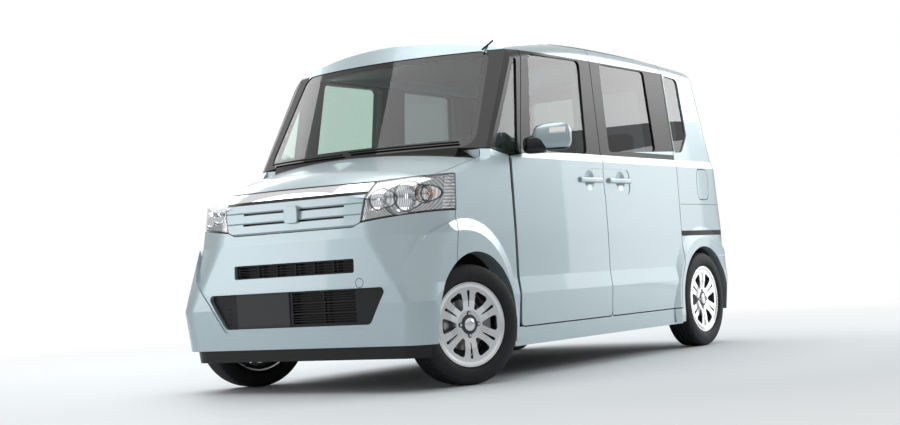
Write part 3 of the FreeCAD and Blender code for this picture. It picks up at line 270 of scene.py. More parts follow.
def door_film_and_gap_shade(x, y, z):
    """1 on the black film, and on painted shade in the gaps round a door, but not in the grip cups."""
    front, rear, height = GRIP_CUPS
    cups = between(z, *height) * (between(y, *front) + between(y, *rear))
    # Painted shade: the faces inside the gaps round a door are black, as the gaps fall in shade
    gap_shade = between(skin_depth(x, z), GAP_SHADE_DEPTH, WALL_HALF) * below_roof(z) * (1 - cups)
    return (pillar_film(x, y, z) + gap_shade) > 0.5


def tail_lining(x, y, z):
    """1 on the cabin side of the tailgate, whose outer face leans forwards above the belt."""
    lean = (z - TAIL[1]).at_least(0.0)
    return y < TAIL[0] - lean * TAIL[2] - WALL_HALF


def roof_lining(x, y, z):
    """1 on the under side of the roof, a flat dome, behind the windscreen's upper edge."""
    dome = ROOF[0] - (y - ROOF[1]) ** 2 * ROOF[2] - x ** 2 * ROOF[3]
    return (z < dome - ROOF_WALL) * (y > SCREEN_TOP)


paint_nodes(body_paint("side_paint", side_gaps, side_lining), "side_frame_left", "side_frame_right")
# The doors carry painted shade in their gaps as well as the black film.
paint_nodes(body_paint("door_paint", door_film_and_gap_shade, side_lining),
            "front_door_left", "front_door_right", "sliding_doors")
paint_nodes(body_paint("tail_paint", None, tail_lining), "tailgate")
paint_nodes(body_paint("roof_paint", None, roof_lining, HEADLINER), "roof_panel")

# ---------------------------------------------------------------------------------------------------------
# Front bumper: one moulding in body colour whose lower lip, set back, is left black. A round cover on its
# left hides the thread for a towing eye.
# ---------------------------------------------------------------------------------------------------------
COVER = (0.383, 0.496, 0.021)       # x, z and radius of the round cover over the towing eye's thread
LIP_TOP = 0.2085


def bumper_black(x, y, z):
    """1 on the lower lip, and on painted shade in the thin gap round the cover."""
    away = ((x - COVER[0]) ** 2 + (z - COVER[1]) ** 2) ** 0.5
    # The gap round the cover is a dark ring in the colour: painted shade, not a groove
    return ((z < LIP_TOP) + between(away, COVER[2] - GAP_HALF, COVER[2] + GAP_HALF)) > 0.5


paint_nodes(body_paint("bumper_paint", bumper_black), "front_bumper")

# ---------------------------------------------------------------------------------------------------------
# Windows: tempered glass 5 mm thick, tinted from the rear doors backwards, and a laminated clear windscreen
# with a black rim printed where it is glued to the body.
# ---------------------------------------------------------------------------------------------------------
CLEAR_TINT = (0.80, 0.87, 0.84)
DARK_TINT = (0.40, 0.42, 0.43)
SCREEN_EDGE = (1.112, 0.608, 0.126)     # the rim's inner edge: a height, x there, how far it leans inwards
SCREEN_CLEAR = (1.15, 1.572)            # heights between which the windscreen is clear
QUARTER_BAR = -0.6                      # y of the bar behind the front quarter windows


def window_glass(name, tint, rim=None, second_tint=None, second=None):
    """A tinted film and a mirror, whose share follows the angle as on glass and is none on back faces.
    rim and second give, from the coordinates, where it is printed black and has the second tint."""
    material, shader, place = finish(name, (1, 1, 1), 0.0, 1.0)
    tree = material.node_tree
    clear = place.node("BsdfTransparent", None, {"Color": (*tint, 1)})
    if second:
        darker = place.node("BsdfTransparent", None, {"Color": (*second_tint, 1)})
        clear = place.node("MixShader", None, {0: second(*place.axes()), 1: clear, 2: darker})
    outside = 1 - place.node("NewGeometry", None, None, "Backfacing")
    share = place.node("Fresnel", None, {"IOR": 1.5}) * outside
    mirror = Shade(tree, shader.outputs[0])
    both = place.node("MixShader", None, {0: share, 1: clear, 2: mirror})
    if rim:
        gloss = {"Base Color": (0.008, 0.008, 0.009, 1), "Roughness": 0.06}
        ink = place.node("BsdfPrincipled", None, gloss)
        both = place.node("MixShader", None, {0: rim(*place.axes()), 1: both, 2: ink})
    tree.links.new(both.socket, tree.nodes["Material Output"].inputs["Surface"])
    return material


def screen_rim(x, y, z):
    """1 on the printed border of the windscreen, wider along its lower edge."""
    side = SCREEN_EDGE[1] - (z - SCREEN_EDGE[0]) * SCREEN_EDGE[2]
    return ((x.size() > side) + (z > SCREEN_CLEAR[1]) + (z < SCREEN_CLEAR[0])) > 0.5


def rear_glass(x, y, z):
    """1 behind the front quarter windows."""
    return y > QUARTER_BAR


paint_nodes(window_glass("screen_glass", CLEAR_TINT, screen_rim), "windscreen")
paint_nodes(window_glass("door_glass", CLEAR_TINT), "front_door_glass_left", "front_door_glass_right")
paint_nodes(window_glass("dark_glass", CLEAR_TINT, None, DARK_TINT, rear_glass),
            "side_glass", "tailgate_glass")

# ---------------------------------------------------------------------------------------------------------
# Headlamps: a moulded housing coated with aluminium behind a clear polycarbonate lens. Its bowls are
# fluted, the bezel between them is stepped, the side segment is ribbed, and one bowl is amber.
# ---------------------------------------------------------------------------------------------------------
LAMP_BOWLS = [(0.585, 0.872, 0.064), (0.478, 0.865, 0.045), (0.655, 0.880, 0.034)]     # x, z and radius
BULB_CAP = 0.024        # radius of the amber cap in the last bowl
SIDE_SEGMENT = 0.694    # the ribbed segment starts at this x
LOWER_EDGE = (0.392, 0.769, 0.1104)     # the housing's edges: x and z of a point and the slope there
UPPER_EDGE = (0.424, 0.950, 0.0752)
INNER_EDGE = (0.392, 0.769, 0.1768)
reflector, shader, place = finish("lamp_reflector", (0.8, 0.8, 0.8), 0.10, 1.0)
x, y, z = place.axes()
x = x.size()
away = [((x - bowl[0]) ** 2 + (z - bowl[1]) ** 2) ** 0.5 for bowl in LAMP_BOWLS]
in_bowl = ((away[0] < LAMP_BOWLS[0][2]) + (away[1] < LAMP_BOWLS[1][2]) + (away[2] < LAMP_BOWLS[2][2])) > 0.5
# Painted reflections: flutes, steps and ribs are lighter and darker stripes in the colour as well as bumps
lines = (x * 640).wave()
steps = (z * 420).wave()
rings = (away[0] * 700).wave()
side = x > SIDE_SEGMENT
shade = in_bowl.mix(rings * 0.22 + 0.30, lines * 0.30 + 0.55)       # painted reflections: fluted bowls brighter, stepped bezel darker
shade = side.mix(shade, steps * 0.35 + 0.45)                        # painted reflections on the ribbed side segment
# Painted shade: a dark ring round the rim of each bowl
for middle, bowl in zip(away, LAMP_BOWLS):
    shade = shade * (1 - between(middle, bowl[2], bowl[2] + 0.006) * 0.8)
bottom = LOWER_EDGE[1] + (x - LOWER_EDGE[0]) * LOWER_EDGE[2]
top = UPPER_EDGE[1] + (x - UPPER_EDGE[0]) * UPPER_EDGE[2]
inner = INNER_EDGE[0] + (z - INNER_EDGE[1]) * INNER_EDGE[2]
border = ((z < bottom + 0.006) + (z > top - 0.007) + (x < inner + 0.010)) > 0.5
shade = shade * (1 - border * 0.96)
amber = (away[2] < BULB_CAP) * 0.45
grey = shade.between((0, 0, 0, 1), (1, 1, 1, 1))
feed(shader, Base_Color=amber.between(grey, (0.62, 0.30, 0.13, 1)), Metallic=1 - border)
feed(shader, Normal=(in_bowl.mix(rings, lines) + steps * side).bump(0.6, 0.5))
paint_nodes(reflector, "headlamps")
paint_nodes(window_glass("clear_lens", (0.97, 0.98, 0.99)), "headlamp_lenses")

# ---------------------------------------------------------------------------------------------------------
# Tail lamps: upright columns of red acrylic, prismed inside, with an amber window for turning over a clear
# one for reversing. The windows are moulded in one go and meet in thin dark joints.
# ---------------------------------------------------------------------------------------------------------
WINDOWS = (0.80, 0.90, 0.99)            # heights of the clear window's foot, the amber one's and its top
JOINT_HALF = 0.0015
red_lens, shader, place = finish("tail_lens", (0.42, 0.01, 0.012), 0.06, Coat_Weight=1.0)
x, y, z = place.axes()
prism = ((x * 900).wave() + (z * 900).wave()) * 0.5
clear_window = between(z, WINDOWS[0], WINDOWS[1])
amber_window = between(z, WINDOWS[1], WINDOWS[2])
# Painted glints: the prisms are lighter and darker red in the colour as well as in the bump
colour = prism.between((0.26, 0.003, 0.005, 1), (0.58, 0.016, 0.018, 1))
colour = amber_window.between(colour, (0.62, 0.26, 0.05, 1))
colour = clear_window.between(colour, (0.66, 0.66, 0.67, 1))
joint = 0
for height in WINDOWS:
    joint = joint + between(z, height - JOINT_HALF, height + JOINT_HALF)
feed(shader, Base_Color=joint.between(colour, (0.02, 0.02, 0.02, 1)), Normal=prism.bump(0.5, 0.5))
paint_nodes(red_lens, "tail_lamps")

# ---------------------------------------------------------------------------------------------------------
# Black pieces: lower grille, arch liners, scuttle, wipers, aerial and the sliding doors' rail covers.
# They are moulded in polypropylene with a fine grain, and clipped or bolted on. The lower grille has a
# plain plate on its right half and short slots at both ends, painted near black as the shade inside them.
# ---------------------------------------------------------------------------------------------------------
PLATE = (-0.367, -0.047, 0.475, -1.665)     # from x, to x, under this height, ahead of this y
SLOT_SPANS = ((0.328, 0.346), (-0.421, -0.403))     # along x
SLOT_COLUMN = (0.325, 0.421, 0.024)     # from a height, to a height, and the pitch
black, shader, place = finish("black_polypropylene", (0.014, 0.014, 0.015), 0.5, Specular_IOR_Level=0.25)
feed(shader, Normal=place.noise(1800, 2.0).bump(0.05, 0.4), Roughness=0.5 + place.noise(60) * 0.15)
paint_nodes(black, "cowl_panel", "wipers", "rear_wiper", "aerial", "wheel_arch_liners", "slide_rails")
grille_plastic, shader, place = finish("lower_grille_plastic", (0.02, 0.02, 0.022), 0.4,
                                       Specular_IOR_Level=0.22)
x, y, z = place.axes()
plate = between(x, PLATE[0], PLATE[1]) * (z < PLATE[2]) * (y < PLATE[3])
low, high, pitch = SLOT_COLUMN
# Painted shade: the slots are near-black stripes in the colour
slots = (between(x, *SLOT_SPANS[0]) + between(x, *SLOT_SPANS[1])) * between(z, low, high)
slots = slots * ((z - low) * (2 * np.pi / pitch)).wave() > 0.55
shade = plate.between((0.016, 0.016, 0.018, 1), (0.055, 0.055, 0.058, 1))
feed(shader, Base_Color=slots.between(shade, (0.002, 0.002, 0.002, 1)))
feed(shader, Normal=place.noise(1500, 2.0).bump(0.05, 0.4), Roughness=0.35 + place.noise(50) * 0.12)
paint_nodes(grille_plastic, "lower_grille")

# ---------------------------------------------------------------------------------------------------------
# Upper grille: one moulding in body colour; its slots are painted black inside as their shade, and a
# chrome-plated bar runs near its top, with painted shade in the gaps above and below it.
# ---------------------------------------------------------------------------------------------------------
FACE = (-1.686, 0.7, 0.128)     # y of the front face, the height there, and how far it leans back upwards
SLOT_HEIGHTS = ((0.7915, 0.8045), (0.8415, 0.8545))
SLOT_END, SLOT_DEPTH = 0.302, 0.010
BAR = (0.9075, 0.9465)          # heights of the plated bar
BAR_GAP_SHADE = 0.015                  # how high the painted shade in the gap under it is


def grille_slot_and_gap_shade(x, y, z):
    """1 on painted shade: inside the slots, and in the gaps above and below the chrome bar."""
    depth = y - FACE[0] - (z - FACE[1]) * FACE[2]
    inside = (x.size() < SLOT_END) * (depth > SLOT_DEPTH)
    slots = (between(z, *SLOT_HEIGHTS[0]) + between(z, *SLOT_HEIGHTS[1])) * inside
    return (slots + between(z, BAR[0] - BAR_GAP_SHADE, BAR[0]) + (z > BAR[1])) > 0.5


def grille_chrome(x, y, z):
    """1 on the plated bar."""
    return between(z, *BAR)


paint_nodes(body_paint("grille_paint", grille_slot_and_gap_shade, chrome=grille_chrome), "upper_grille")

# ---------------------------------------------------------------------------------------------------------
# Under the floor: pressed steel floor, subframe and rear axle in a thick sprayed coat, a cast engine,
# drums and knuckles, a blow-moulded tank, and a rolled and welded exhaust whose steel is browned by heat.
# ---------------------------------------------------------------------------------------------------------
coated, shader, place = finish("underbody_coat", (0.045, 0.048, 0.052), 0.6)
feed(shader, Normal=place.noise(300, 3.0).bump(0.3, 0.5))
paint_nodes(coated, "floor_pan", "front_suspension", "rear_axle")
iron, shader, place = finish("cast_metal", (0.21, 0.21, 0.22), 0.5, 0.8)
feed(shader, Normal=place.noise(400, 3.0).bump(0.3, 0.6))
paint_nodes(iron, "engine", "brake_drum_rear_left", "brake_drum_rear_right", "knuckle_left",
            "knuckle_right")
moulded, shader, place = finish("tank_polyethylene", (0.02, 0.02, 0.022), 0.4)
feed(shader, Normal=place.noise(80, 2.0).bump(0.4, 0.5))
paint_nodes(moulded, "fuel_tank")
pipe_steel, shader, place = finish("exhaust_steel", (0.42, 0.40, 0.37), 0.35, 1.0)
heat = place.noise(9, 3.0)
browned = heat.between((0.5, 0.48, 0.45, 1), (0.30, 0.22, 0.15, 1))
feed(shader, Base_Color=browned, Roughness=0.3 + heat * 0.2)
paint_nodes(pipe_steel, "exhaust")

# ---------------------------------------------------------------------------------------------------------
# Wheels: cast aluminium rims with six pairs of spokes in silver paint, and turned iron discs in front.
# The tyres are moulded rubber, with two grooves each side of the middle and a sipe between tread blocks.
# ---------------------------------------------------------------------------------------------------------
silver, shader, place = finish("silver_rim_paint", (0.74, 0.75, 0.76), 0.22, 1.0, Coat_Weight=0.5)
feed(shader, Roughness=0.16 + place.noise(1500) * 0.1)
rubber, shader, place = finish("tyre_rubber", (0.010, 0.010, 0.011), 0.6, Specular_IOR_Level=0.35)
feed(shader, Normal=place.noise(500, 3.0).bump(0.15, 0.5), Roughness=0.55 + place.noise(40) * 0.2)
turned, shader, place = finish("turned_disc", (0.45, 0.45, 0.46), 0.3, 1.0)
feed(shader, Roughness=0.25 + place.noise(900) * 0.15)
CORNERS = ("front_left", "front_right", "rear_left", "rear_right")
paint_nodes(silver, *["rim_" + corner for corner in CORNERS])
paint_nodes(turned, "brake_disc_front_left", "brake_disc_front_right")


def surface(name, points, material, body, round_rows=False, round_columns=False, crease=35):
    """A piece from a grid of points: rows, columns, coordinates. Either direction may close on itself.
    Edges sharper than crease degrees stay sharp. The piece rides on a body."""
    rows, columns = points.shape[:2]
    index = np.arange(rows * columns).reshape(rows, columns)
    if round_rows:
        index = np.vstack([index, index[:1]])
    if round_columns:
        index = np.hstack([index, index[:, :1]])
    faces = np.stack([index[:-1, :-1], index[:-1, 1:], index[1:, 1:], index[1:, :-1]], -1).reshape(-1, 4)
    mesh = bpy.data.meshes.new(name)
    mesh.from_pydata(points.reshape(-1, 3).tolist(), [], faces.tolist())
    form = bmesh.new()
    form.from_mesh(mesh)
    bmesh.ops.remove_doubles(form, verts=form.verts, dist=1e-5)
    bmesh.ops.recalc_face_normals(form, faces=form.faces)
    form.to_mesh(mesh)
    form.free()
    mesh.shade_smooth()
    mesh.set_sharp_from_angle(angle=np.radians(crease))
    mesh.materials.append(material)
    piece = bpy.data.objects.new(name, mesh)
    bpy.context.scene.collection.objects.link(piece)
    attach(piece, body)
    return piece


rolling = {joint["child"]: joint for joint in frame["joints"]}


def on_wheel(corner, out, radius, angle):
    """Points of a wheel: out metres outboard of the tyre's middle, at a radius and an angle from level."""
    joint = rolling["wheel_" + corner]
    axle = np.array(joint["axis"]) * (1 if corner.endswith("left") else -1)
    level = np.cross(axle, (0, 0, 1))
    out, radius, angle = [np.asarray(value)[..., None] for value in np.broadcast_arrays(out, radius, angle)]
    outward = np.cos(angle) * level + np.sin(angle) * np.array((0, 0, 1))
    return np.array(joint["pos_m"]) + out * axle + radius * outward


# Half of the tyre's section, from the middle of the tread to the bead and back inside: out and radius, mm
TYRE_HALF = [
    (56, 275.4), (61, 274), (65, 271), (69, 266.5), (72.5, 259), (75, 250), (76.8, 240), (77.5, 231),
    (77, 222), (75, 213), (74.6, 211.5), (73.2, 210.5), (72, 207), (68, 201.5), (63, 198.2), (58, 196.8),
    (56.2, 195.5), (56, 179), (46, 179), (50, 198), (64, 222), (66, 240), (58, 256), (30, 262),
]
TREAD_RADIUS = 277.0    # mm
GROOVES = (12, 38)      # middles of the grooves round the tread, mm
GROOVE = (4.0, 6.5)     # half width and depth, mm
BLOCKS = 64             # tread blocks round the tyre
tread = [(0, TREAD_RADIUS)]
for middle in GROOVES:
    half, depth = GROOVE
    crown, bottom = TREAD_RADIUS - middle / 60, TREAD_RADIUS - depth
    tread += [(middle - half, crown), (middle - half + 0.8, bottom), (middle + half - 0.8, bottom),
              (middle + half, crown)]
half_section = np.array(tread + TYRE_HALF) / 1000
section = np.vstack([half_section, half_section[:0:-1] * (-1, 1)])
# Four columns to a block: its face and the sipe after it, slanted across the tread and cut 3 mm deep
SIPE_DEPTH = 0.003
column = np.arange(BLOCKS * 4)
around_tyre = (column // 4 + np.array([0, 0.02, 0.86, 0.88])[column % 4]) * (2 * np.pi / BLOCKS)
slant = 0.04 * np.sin(np.pi * section[:, 0] / 0.12)
sipe = np.isin(column % 4, (0, 3))[:, None] & (section[:, 1] > 0.2695) & (np.abs(section[:, 0]) > 0.017)
radius = section[:, 1] - SIPE_DEPTH * sipe
angle = around_tyre[:, None] + slant
for corner in CORNERS:
    tyre = surface("tread_" + corner, on_wheel(corner, section[:, 0], radius, angle), rubber,
                   "wheel_" + corner, True, True)
    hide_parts("tyre_" + corner)

# ---------------------------------------------------------------------------------------------------------
# Wheel centres: a plain domed cap pressed into the hub bore, in a dark painted ring with four pockets for
# plated steel nuts. The ring follows the hub's raised middle; the nuts are turned from hexagon bar.
# ---------------------------------------------------------------------------------------------------------
HUB = 0.0540            # the hub's outer face, from the middle of the tyre
NUT_CIRCLE = 0.050
POCKET = 0.0115         # radius of a nut's pocket
RING_EDGE = 0.0455      # the ring's radius between the pockets
# Profiles of a nut, of the ring's step over the hub and of the cap: height over the hub and radius
NUT = np.array([(0.0005, 0.0078), (0.0050, 0.0078), (0.0065, 0.0066), (0.0065, 0.0042), (0.0048, 0.0038),
                (0.0048, 0)])
BOSS = np.array([(0.0048, 0.0295), (0.0012, 0.0345), (0.0008, 0.0365)])
CAP = np.array([(0.0000, 0.0300), (0.0042, 0.0298), (0.0056, 0.0285), (0.0058, 0.0268), (0.0048, 0.0262),
                (0.0050, 0.0240), (0.0066, 0.0225), (0.0074, 0.0150), (0.0078, 0.0)])
dark_ring, shader, place = finish("dark_hub_paint", (0.035, 0.035, 0.038), 0.4)
feed(shader, Normal=place.noise(900, 2.0).bump(0.1, 0.4))
plated, shader, place = finish("plated_nut", (0.72, 0.72, 0.73), 0.18, 1.0)
feed(shader, Roughness=0.15 + place.noise(700) * 0.1)
around = np.linspace(0, 2 * np.pi, 193)[:-1]
to_nut = (around + np.pi / 4) % (np.pi / 2) - np.pi / 4
inside = np.clip(1 - (NUT_CIRCLE * np.sin(to_nut) / POCKET) ** 2, 0, 1)
scallops = np.where(inside > 0, NUT_CIRCLE * np.cos(to_nut) + POCKET * np.sqrt(inside), 0)
rim_of_ring = np.maximum(RING_EDGE, scallops)
share = np.linspace(0, 1, 5)[1:, None]
ring_radius = np.vstack([BOSS[:, 1:] + 0 * around, BOSS[2, 1] + share * (rim_of_ring - BOSS[2, 1])])
ring_height = HUB + np.vstack([BOSS[:, :1], BOSS[2, 0] - 0.0004 * share])
cap_height = HUB + 0.001 + CAP[:, :1]
hexagon = np.linspace(0, 2 * np.pi, 7)[:-1]
for corner in CORNERS:
    wheel = "wheel_" + corner
    points = on_wheel(corner, ring_height, ring_radius, around)
    surface("hub_ring_" + corner, points, dark_ring, wheel, False, True)
    points = on_wheel(corner, cap_height, CAP[:, 1:], around[::3])
    surface("wheel_cap_" + corner, points, silver, wheel, False, True, 50)
    for quarter in range(4):
        middle = on_wheel(corner, 0, NUT_CIRCLE, quarter * np.pi / 2) - on_wheel(corner, 0, 0, 0)
        points = on_wheel(corner, HUB + NUT[:, :1], NUT[:, 1:], hexagon) + middle
        nut = surface(f"wheel_nut_{corner}_{quarter + 1}", points, plated, wheel, False, True, 20)

# ---------------------------------------------------------------------------------------------------------
# Dust shields: dishes pressed from 1.5 mm steel sheet, behind the brakes. Those in front are bolted to the
# knuckles and steer with them; those behind stay with the axle.
# ---------------------------------------------------------------------------------------------------------
SHIELD = np.array([(-0.030, 0.050), (-0.030, 0.090), (-0.024, 0.098), (-0.024, 0.140), (-0.019, 0.147),
                   (-0.010, 0.150)])    # place outboard of the tyre's middle, and radius
for corner in CORNERS:
    end, side = corner.split("_")
    points = on_wheel(corner, SHIELD[:, :1], SHIELD[:, 1:], around[::2])
    carrier = "knuckle_" + side if end == "front" else "body"
    shield = surface("brake_shield_" + corner, points, coated, carrier, False, True)
    wall = shield.modifiers.new("wall", "SOLIDIFY")
    wall.thickness = 0.0015

# ---------------------------------------------------------------------------------------------------------
# Dashboard and steering wheel: a hollow moulding in dark plastic and a foamed rim on a steel core, both
# with a grained skin. The dashboard is bolted to a beam between the front pillars.
# ---------------------------------------------------------------------------------------------------------
grained, shader, place = finish("cabin_plastic", (0.06, 0.056, 0.052), 0.5)
feed(shader, Normal=place.noise(700, 2.0).bump(0.12, 0.5))
paint_nodes(grained, "dashboard", "steering_wheel")

# ---------------------------------------------------------------------------------------------------------
# Seats: foam cushions in woven cloth on steel bases, two in front and a split bench behind. Each cover is
# blown up by cloth pressure, then its sewn channels are pressed in along the bolsters.
# ---------------------------------------------------------------------------------------------------------
cloth, shader, place = finish("seat_cloth", (0.07, 0.066, 0.062), 0.9, Sheen_Weight=0.3)
weave = place.node("TexWave", {"wave_type": "BANDS", "bands_direction": "DIAGONAL"},
                   {"Vector": place, "Scale": 260.0, "Distortion": 1.5})
feed(shader, Base_Color=weave.between((0.055, 0.052, 0.049, 1), (0.095, 0.09, 0.085, 1)))
feed(shader, Normal=(weave + place.noise(900, 2.0)).bump(0.3, 0.6))


def pillow(name, middle, half, lean, power=0.45, steps=40):
    """A closed block with round edges: each coordinate of a sphere keeps its sign and is raised to a power,
    then stretched to half its size each way, leaned back about the x axis and moved to its middle."""
    turn = np.linspace(0, 2 * np.pi, 2 * steps + 1)[:-1]
    rise = np.linspace(-np.pi / 2, np.pi / 2, steps)[:, None]
    level = np.cos(rise)
    ball = np.stack(np.broadcast_arrays(level * np.cos(turn), level * np.sin(turn), np.sin(rise)), -1)
    block = np.sign(ball) * np.abs(ball) ** power * half
    swing = np.radians(lean)
    tilt = np.array([[1, 0, 0], [0, np.cos(swing), np.sin(swing)], [0, -np.sin(swing), np.cos(swing)]])
    return surface(name, block @ tilt.T + middle, cloth, "body", False, True, 180)


def spots(mesh):
    """The vertices of a mesh as an array."""
    co = np.empty(len(mesh.vertices) * 3)
    mesh.vertices.foreach_get("co", co)
    return co.reshape(-1, 3)


def puff(piece, cap, voxel):
    """Blows a closed piece up: cloth under pressure, without gravity, each point moving by cap at most."""
    bpy.context.view_layer.objects.active = piece
    remesh = piece.modifiers.new("even", "REMESH")
    remesh.mode, remesh.voxel_size = "VOXEL", voxel
    bpy.ops.object.modifier_apply(modifier="even")
    start = spots(piece.data)
    air = piece.modifiers.new("air", "CLOTH")
    air.settings.use_pressure = True
    air.settings.uniform_pressure_force = 4
    air.settings.effector_weights.gravity = 0
    for step in range(1, 21):
        bpy.context.scene.frame_set(step)
    blown = spots(piece.evaluated_get(bpy.context.evaluated_depsgraph_get()).data)
    piece.modifiers.remove(air)
    bpy.context.scene.frame_set(1)
    moved = blown - start
    length = np.maximum(np.linalg.norm(moved, axis=1, keepdims=True), 1e-9)
    piece.data.vertices.foreach_set("co", (start + moved * np.minimum(1, cap / length)).ravel())
    finer = piece.modifiers.new("finer", "SUBSURF")
    finer.levels = finer.render_levels = 1
    bpy.ops.object.modifier_apply(modifier="finer")
    piece.data.shade_smooth()


def sew(piece, channels, middle, axis, face, depth=0.006, width=0.007):
    """Presses channels in: points near each value of the axis coordinate sink towards the middle, along the
    face axis, by a bell curve of this depth and width."""
    co = spots(piece.data)
    for value in channels:
        near = np.exp(-((co[:, axis] - middle[axis] - value) / width) ** 2)
        side = np.sign(co[:, face] - middle[face])
        co[:, face] -= depth * near * side
    piece.data.vertices.foreach_set("co", co.ravel())
    piece.data.update()


ALONG_X, ALONG_Y, ALONG_Z = range(3)
SEAT_X = 0.320          # middle of the left seat
POST_X = SEAT_X + 0.01  # middle of its headrest, between the posts
# Of each part: middle, half sizes, lean in degrees, limit of a point's move, voxel, channels along x
PARTS = {
    "cushion": ((SEAT_X, -0.055, 0.574), (0.262, 0.262, 0.050), -3.5, 0.022, 0.013, (-0.15, 0.15)),
    "back": ((SEAT_X, 0.222, 0.850), (0.250, 0.040, 0.262), 10.5, 0.022, 0.013, (-0.15, 0.15)),
    "headrest": ((POST_X, 0.305, 1.213), (0.118, 0.030, 0.074), 6.0, 0.010, 0.008, ()),
}
# Copies: the seat's name, mirrored or not, and its shift from the left front seat
PLACES = [("front_left", 1, (0.01, 0, 0)), ("front_right", -1, (-0.01, 0, 0)),
          ("rear_left", 1, (-0.018, 0.72, 0)), ("rear_right", -1, (0.018, 0.72, 0))]
for part, (middle, half, lean, cap, voxel, channels) in PARTS.items():
    pattern = pillow("seat_pattern", middle, half, lean)
    puff(pattern, cap, voxel)
    sew(pattern, channels, middle, ALONG_X, ALONG_Z if part == "cushion" else ALONG_Y)
    for name, mirrored, shift in PLACES:
        mesh = pattern.data.copy()
        mesh.name = f"seat_{part}_{name}"
        mesh.transform(Matrix.Translation(shift) @ Matrix.Diagonal((mirrored, 1, 1, 1)))
        if mirrored < 0:
            mesh.flip_normals()
        seat = bpy.data.objects.new(f"seat_{part}_{name}", mesh)
        bpy.context.scene.collection.objects.link(seat)
        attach(seat, "body")
        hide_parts("front_seats" if name.startswith("front") else "rear_seat")
    bpy.data.objects.remove(pattern)
BASE = ((SEAT_X, -0.04, 0.430), (0.215, 0.205, 0.096))              # middle and half sizes
POST = np.array([(0, 0), (0, 0.006), (0.11, 0.006), (0.11, 0)])     # height above its foot and radius
POST_FOOT = (0.298, 1.06)                                           # y and z
for name, mirrored, shift in PLACES:
    (base_x, base_y, base_z), half = BASE
    middle = (mirrored * base_x + shift[0], base_y + shift[1], base_z)
    base = pillow(f"seat_base_{name}", middle, half, 0, 0.25, 24)
    base.data.materials[0] = grained
    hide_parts("front_seats" if name.startswith("front") else "rear_seat")
    for side in (-1, 1):
        foot = (mirrored * POST_X + shift[0] + side * 0.06, POST_FOOT[0] + shift[1], POST_FOOT[1])
        ring = np.stack([np.cos(hexagon), np.sin(hexagon), 0 * hexagon], -1)
        points = foot + POST[:, 1:, None] * ring + POST[:, :1, None] * np.array((0, 0.04, 1))
        post_name = f"headrest_post_{name}_{'left' if side > 0 else 'right'}"
        post = surface(post_name, points, plated, "body", False, True, 80)

# ---------------------------------------------------------------------------------------------------------
# Door mirrors: a domed shell in body colour with an indicator lens, on a gloss black foot that is bolted to
# the door, and a slightly convex glass behind. The shell's lower edge is black too.
# ---------------------------------------------------------------------------------------------------------
MIRROR = (0.858, -0.704, 1.150)     # middle of the left one
YAW = np.radians(18)
LENS_X, LENS_Z, LENS_BACK = (0.868, 0.938), (1.164, 1.192), -0.70
SHELL_EDGE = 1.094                  # under this height the shell is black


def lens_mask(x, y, z):
    """1 on the shell's indicator lens, high on its outer front."""
    return between(x.size(), *LENS_X) * between(z, *LENS_Z) * (y < LENS_BACK)


shell_paint = body_paint("mirror_paint", lambda x, y, z: z < SHELL_EDGE, chrome=lens_mask)
gloss_black, shader, place = finish("gloss_black", (0.008, 0.008, 0.009), 0.12)
feed(shader, Roughness=0.1 + place.noise(40) * 0.06)
mirror_glass, shader, place = finish("mirror_glass", (0.86, 0.87, 0.88), 0.02, 1.0)
feed(shader, Roughness=0.015 + place.noise(300) * 0.01)


def power_wave(wave, power):
    """A sine or cosine that keeps its sign and is raised to a power, which squares up an oval."""
    return np.sign(wave) * np.abs(wave) ** power


def hang_mirror(side, points):
    """Points in the mirror's own frame, outboard, rearwards and up, put on the left or right door."""
    x, y, z = np.moveaxis(points, -1, 0)
    cos, sin = np.cos(YAW), np.sin(YAW)
    placed = np.stack([x * cos - y * sin, x * sin + y * cos, z], -1) + MIRROR
    return placed * ((1, 1, 1) if side == "left" else (-1, 1, 1))


# The shell's ovals shrink to both ends, are deeper in front than behind, and sink a little at the foot; the
# glass is a shallow dome of the same oval, and the foot a block with round edges
along = np.sin(np.linspace(-np.pi / 2, np.pi / 2, 41))[:, None]
turn = np.linspace(0, 2 * np.pi, 73)[:-1]
end = (1 - np.abs(along) ** 5) ** (1 / 2.6)
ahead = power_wave(np.cos(turn), 0.75)
depth = np.where(ahead < 0, 0.044 - 0.008 * along, 0.036) * ahead
half_height = 0.066 + 0.003 * along - 0.010 * (along < -0.3) * (along + 0.3) ** 2
high = power_wave(np.sin(turn), 0.62) * half_height
SHELL = np.stack(np.broadcast_arrays(0.096 * along, end * depth, end * high), -1)
spread = np.linspace(0, 1, 12)[:, None]
GLASS = np.stack(np.broadcast_arrays(
    0.080 * spread * power_wave(np.cos(turn), 0.5), 0.0372 + 0.0025 * (1 - spread ** 2),
    0.052 * spread * power_wave(np.sin(turn), 0.5)), -1)
rise = np.linspace(-np.pi / 2, np.pi / 2, 25)[:, None]
FOOT = np.stack(np.broadcast_arrays(
    -0.082 + 0.060 * power_wave(np.cos(rise), 0.4) * power_wave(np.cos(turn), 0.6),
    -0.012 + 0.038 * power_wave(np.cos(rise), 0.4) * power_wave(np.sin(turn), 0.6),
    -0.036 + 0.042 * power_wave(np.sin(rise), 0.6)), -1)
KINDS = (("shell", SHELL, shell_paint, "body_paint"), ("foot", FOOT, gloss_black, "black_plastic"),
         ("glass", GLASS, mirror_glass, "glass"))
for side in ("left", "right"):
    for kind, form, material, slot in KINDS:
        points = hang_mirror(side, form)
        piece = surface(f"mirror_{kind}_{side}", points, material, "door_" + side, False, True, 60)
        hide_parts("mirror_" + side)

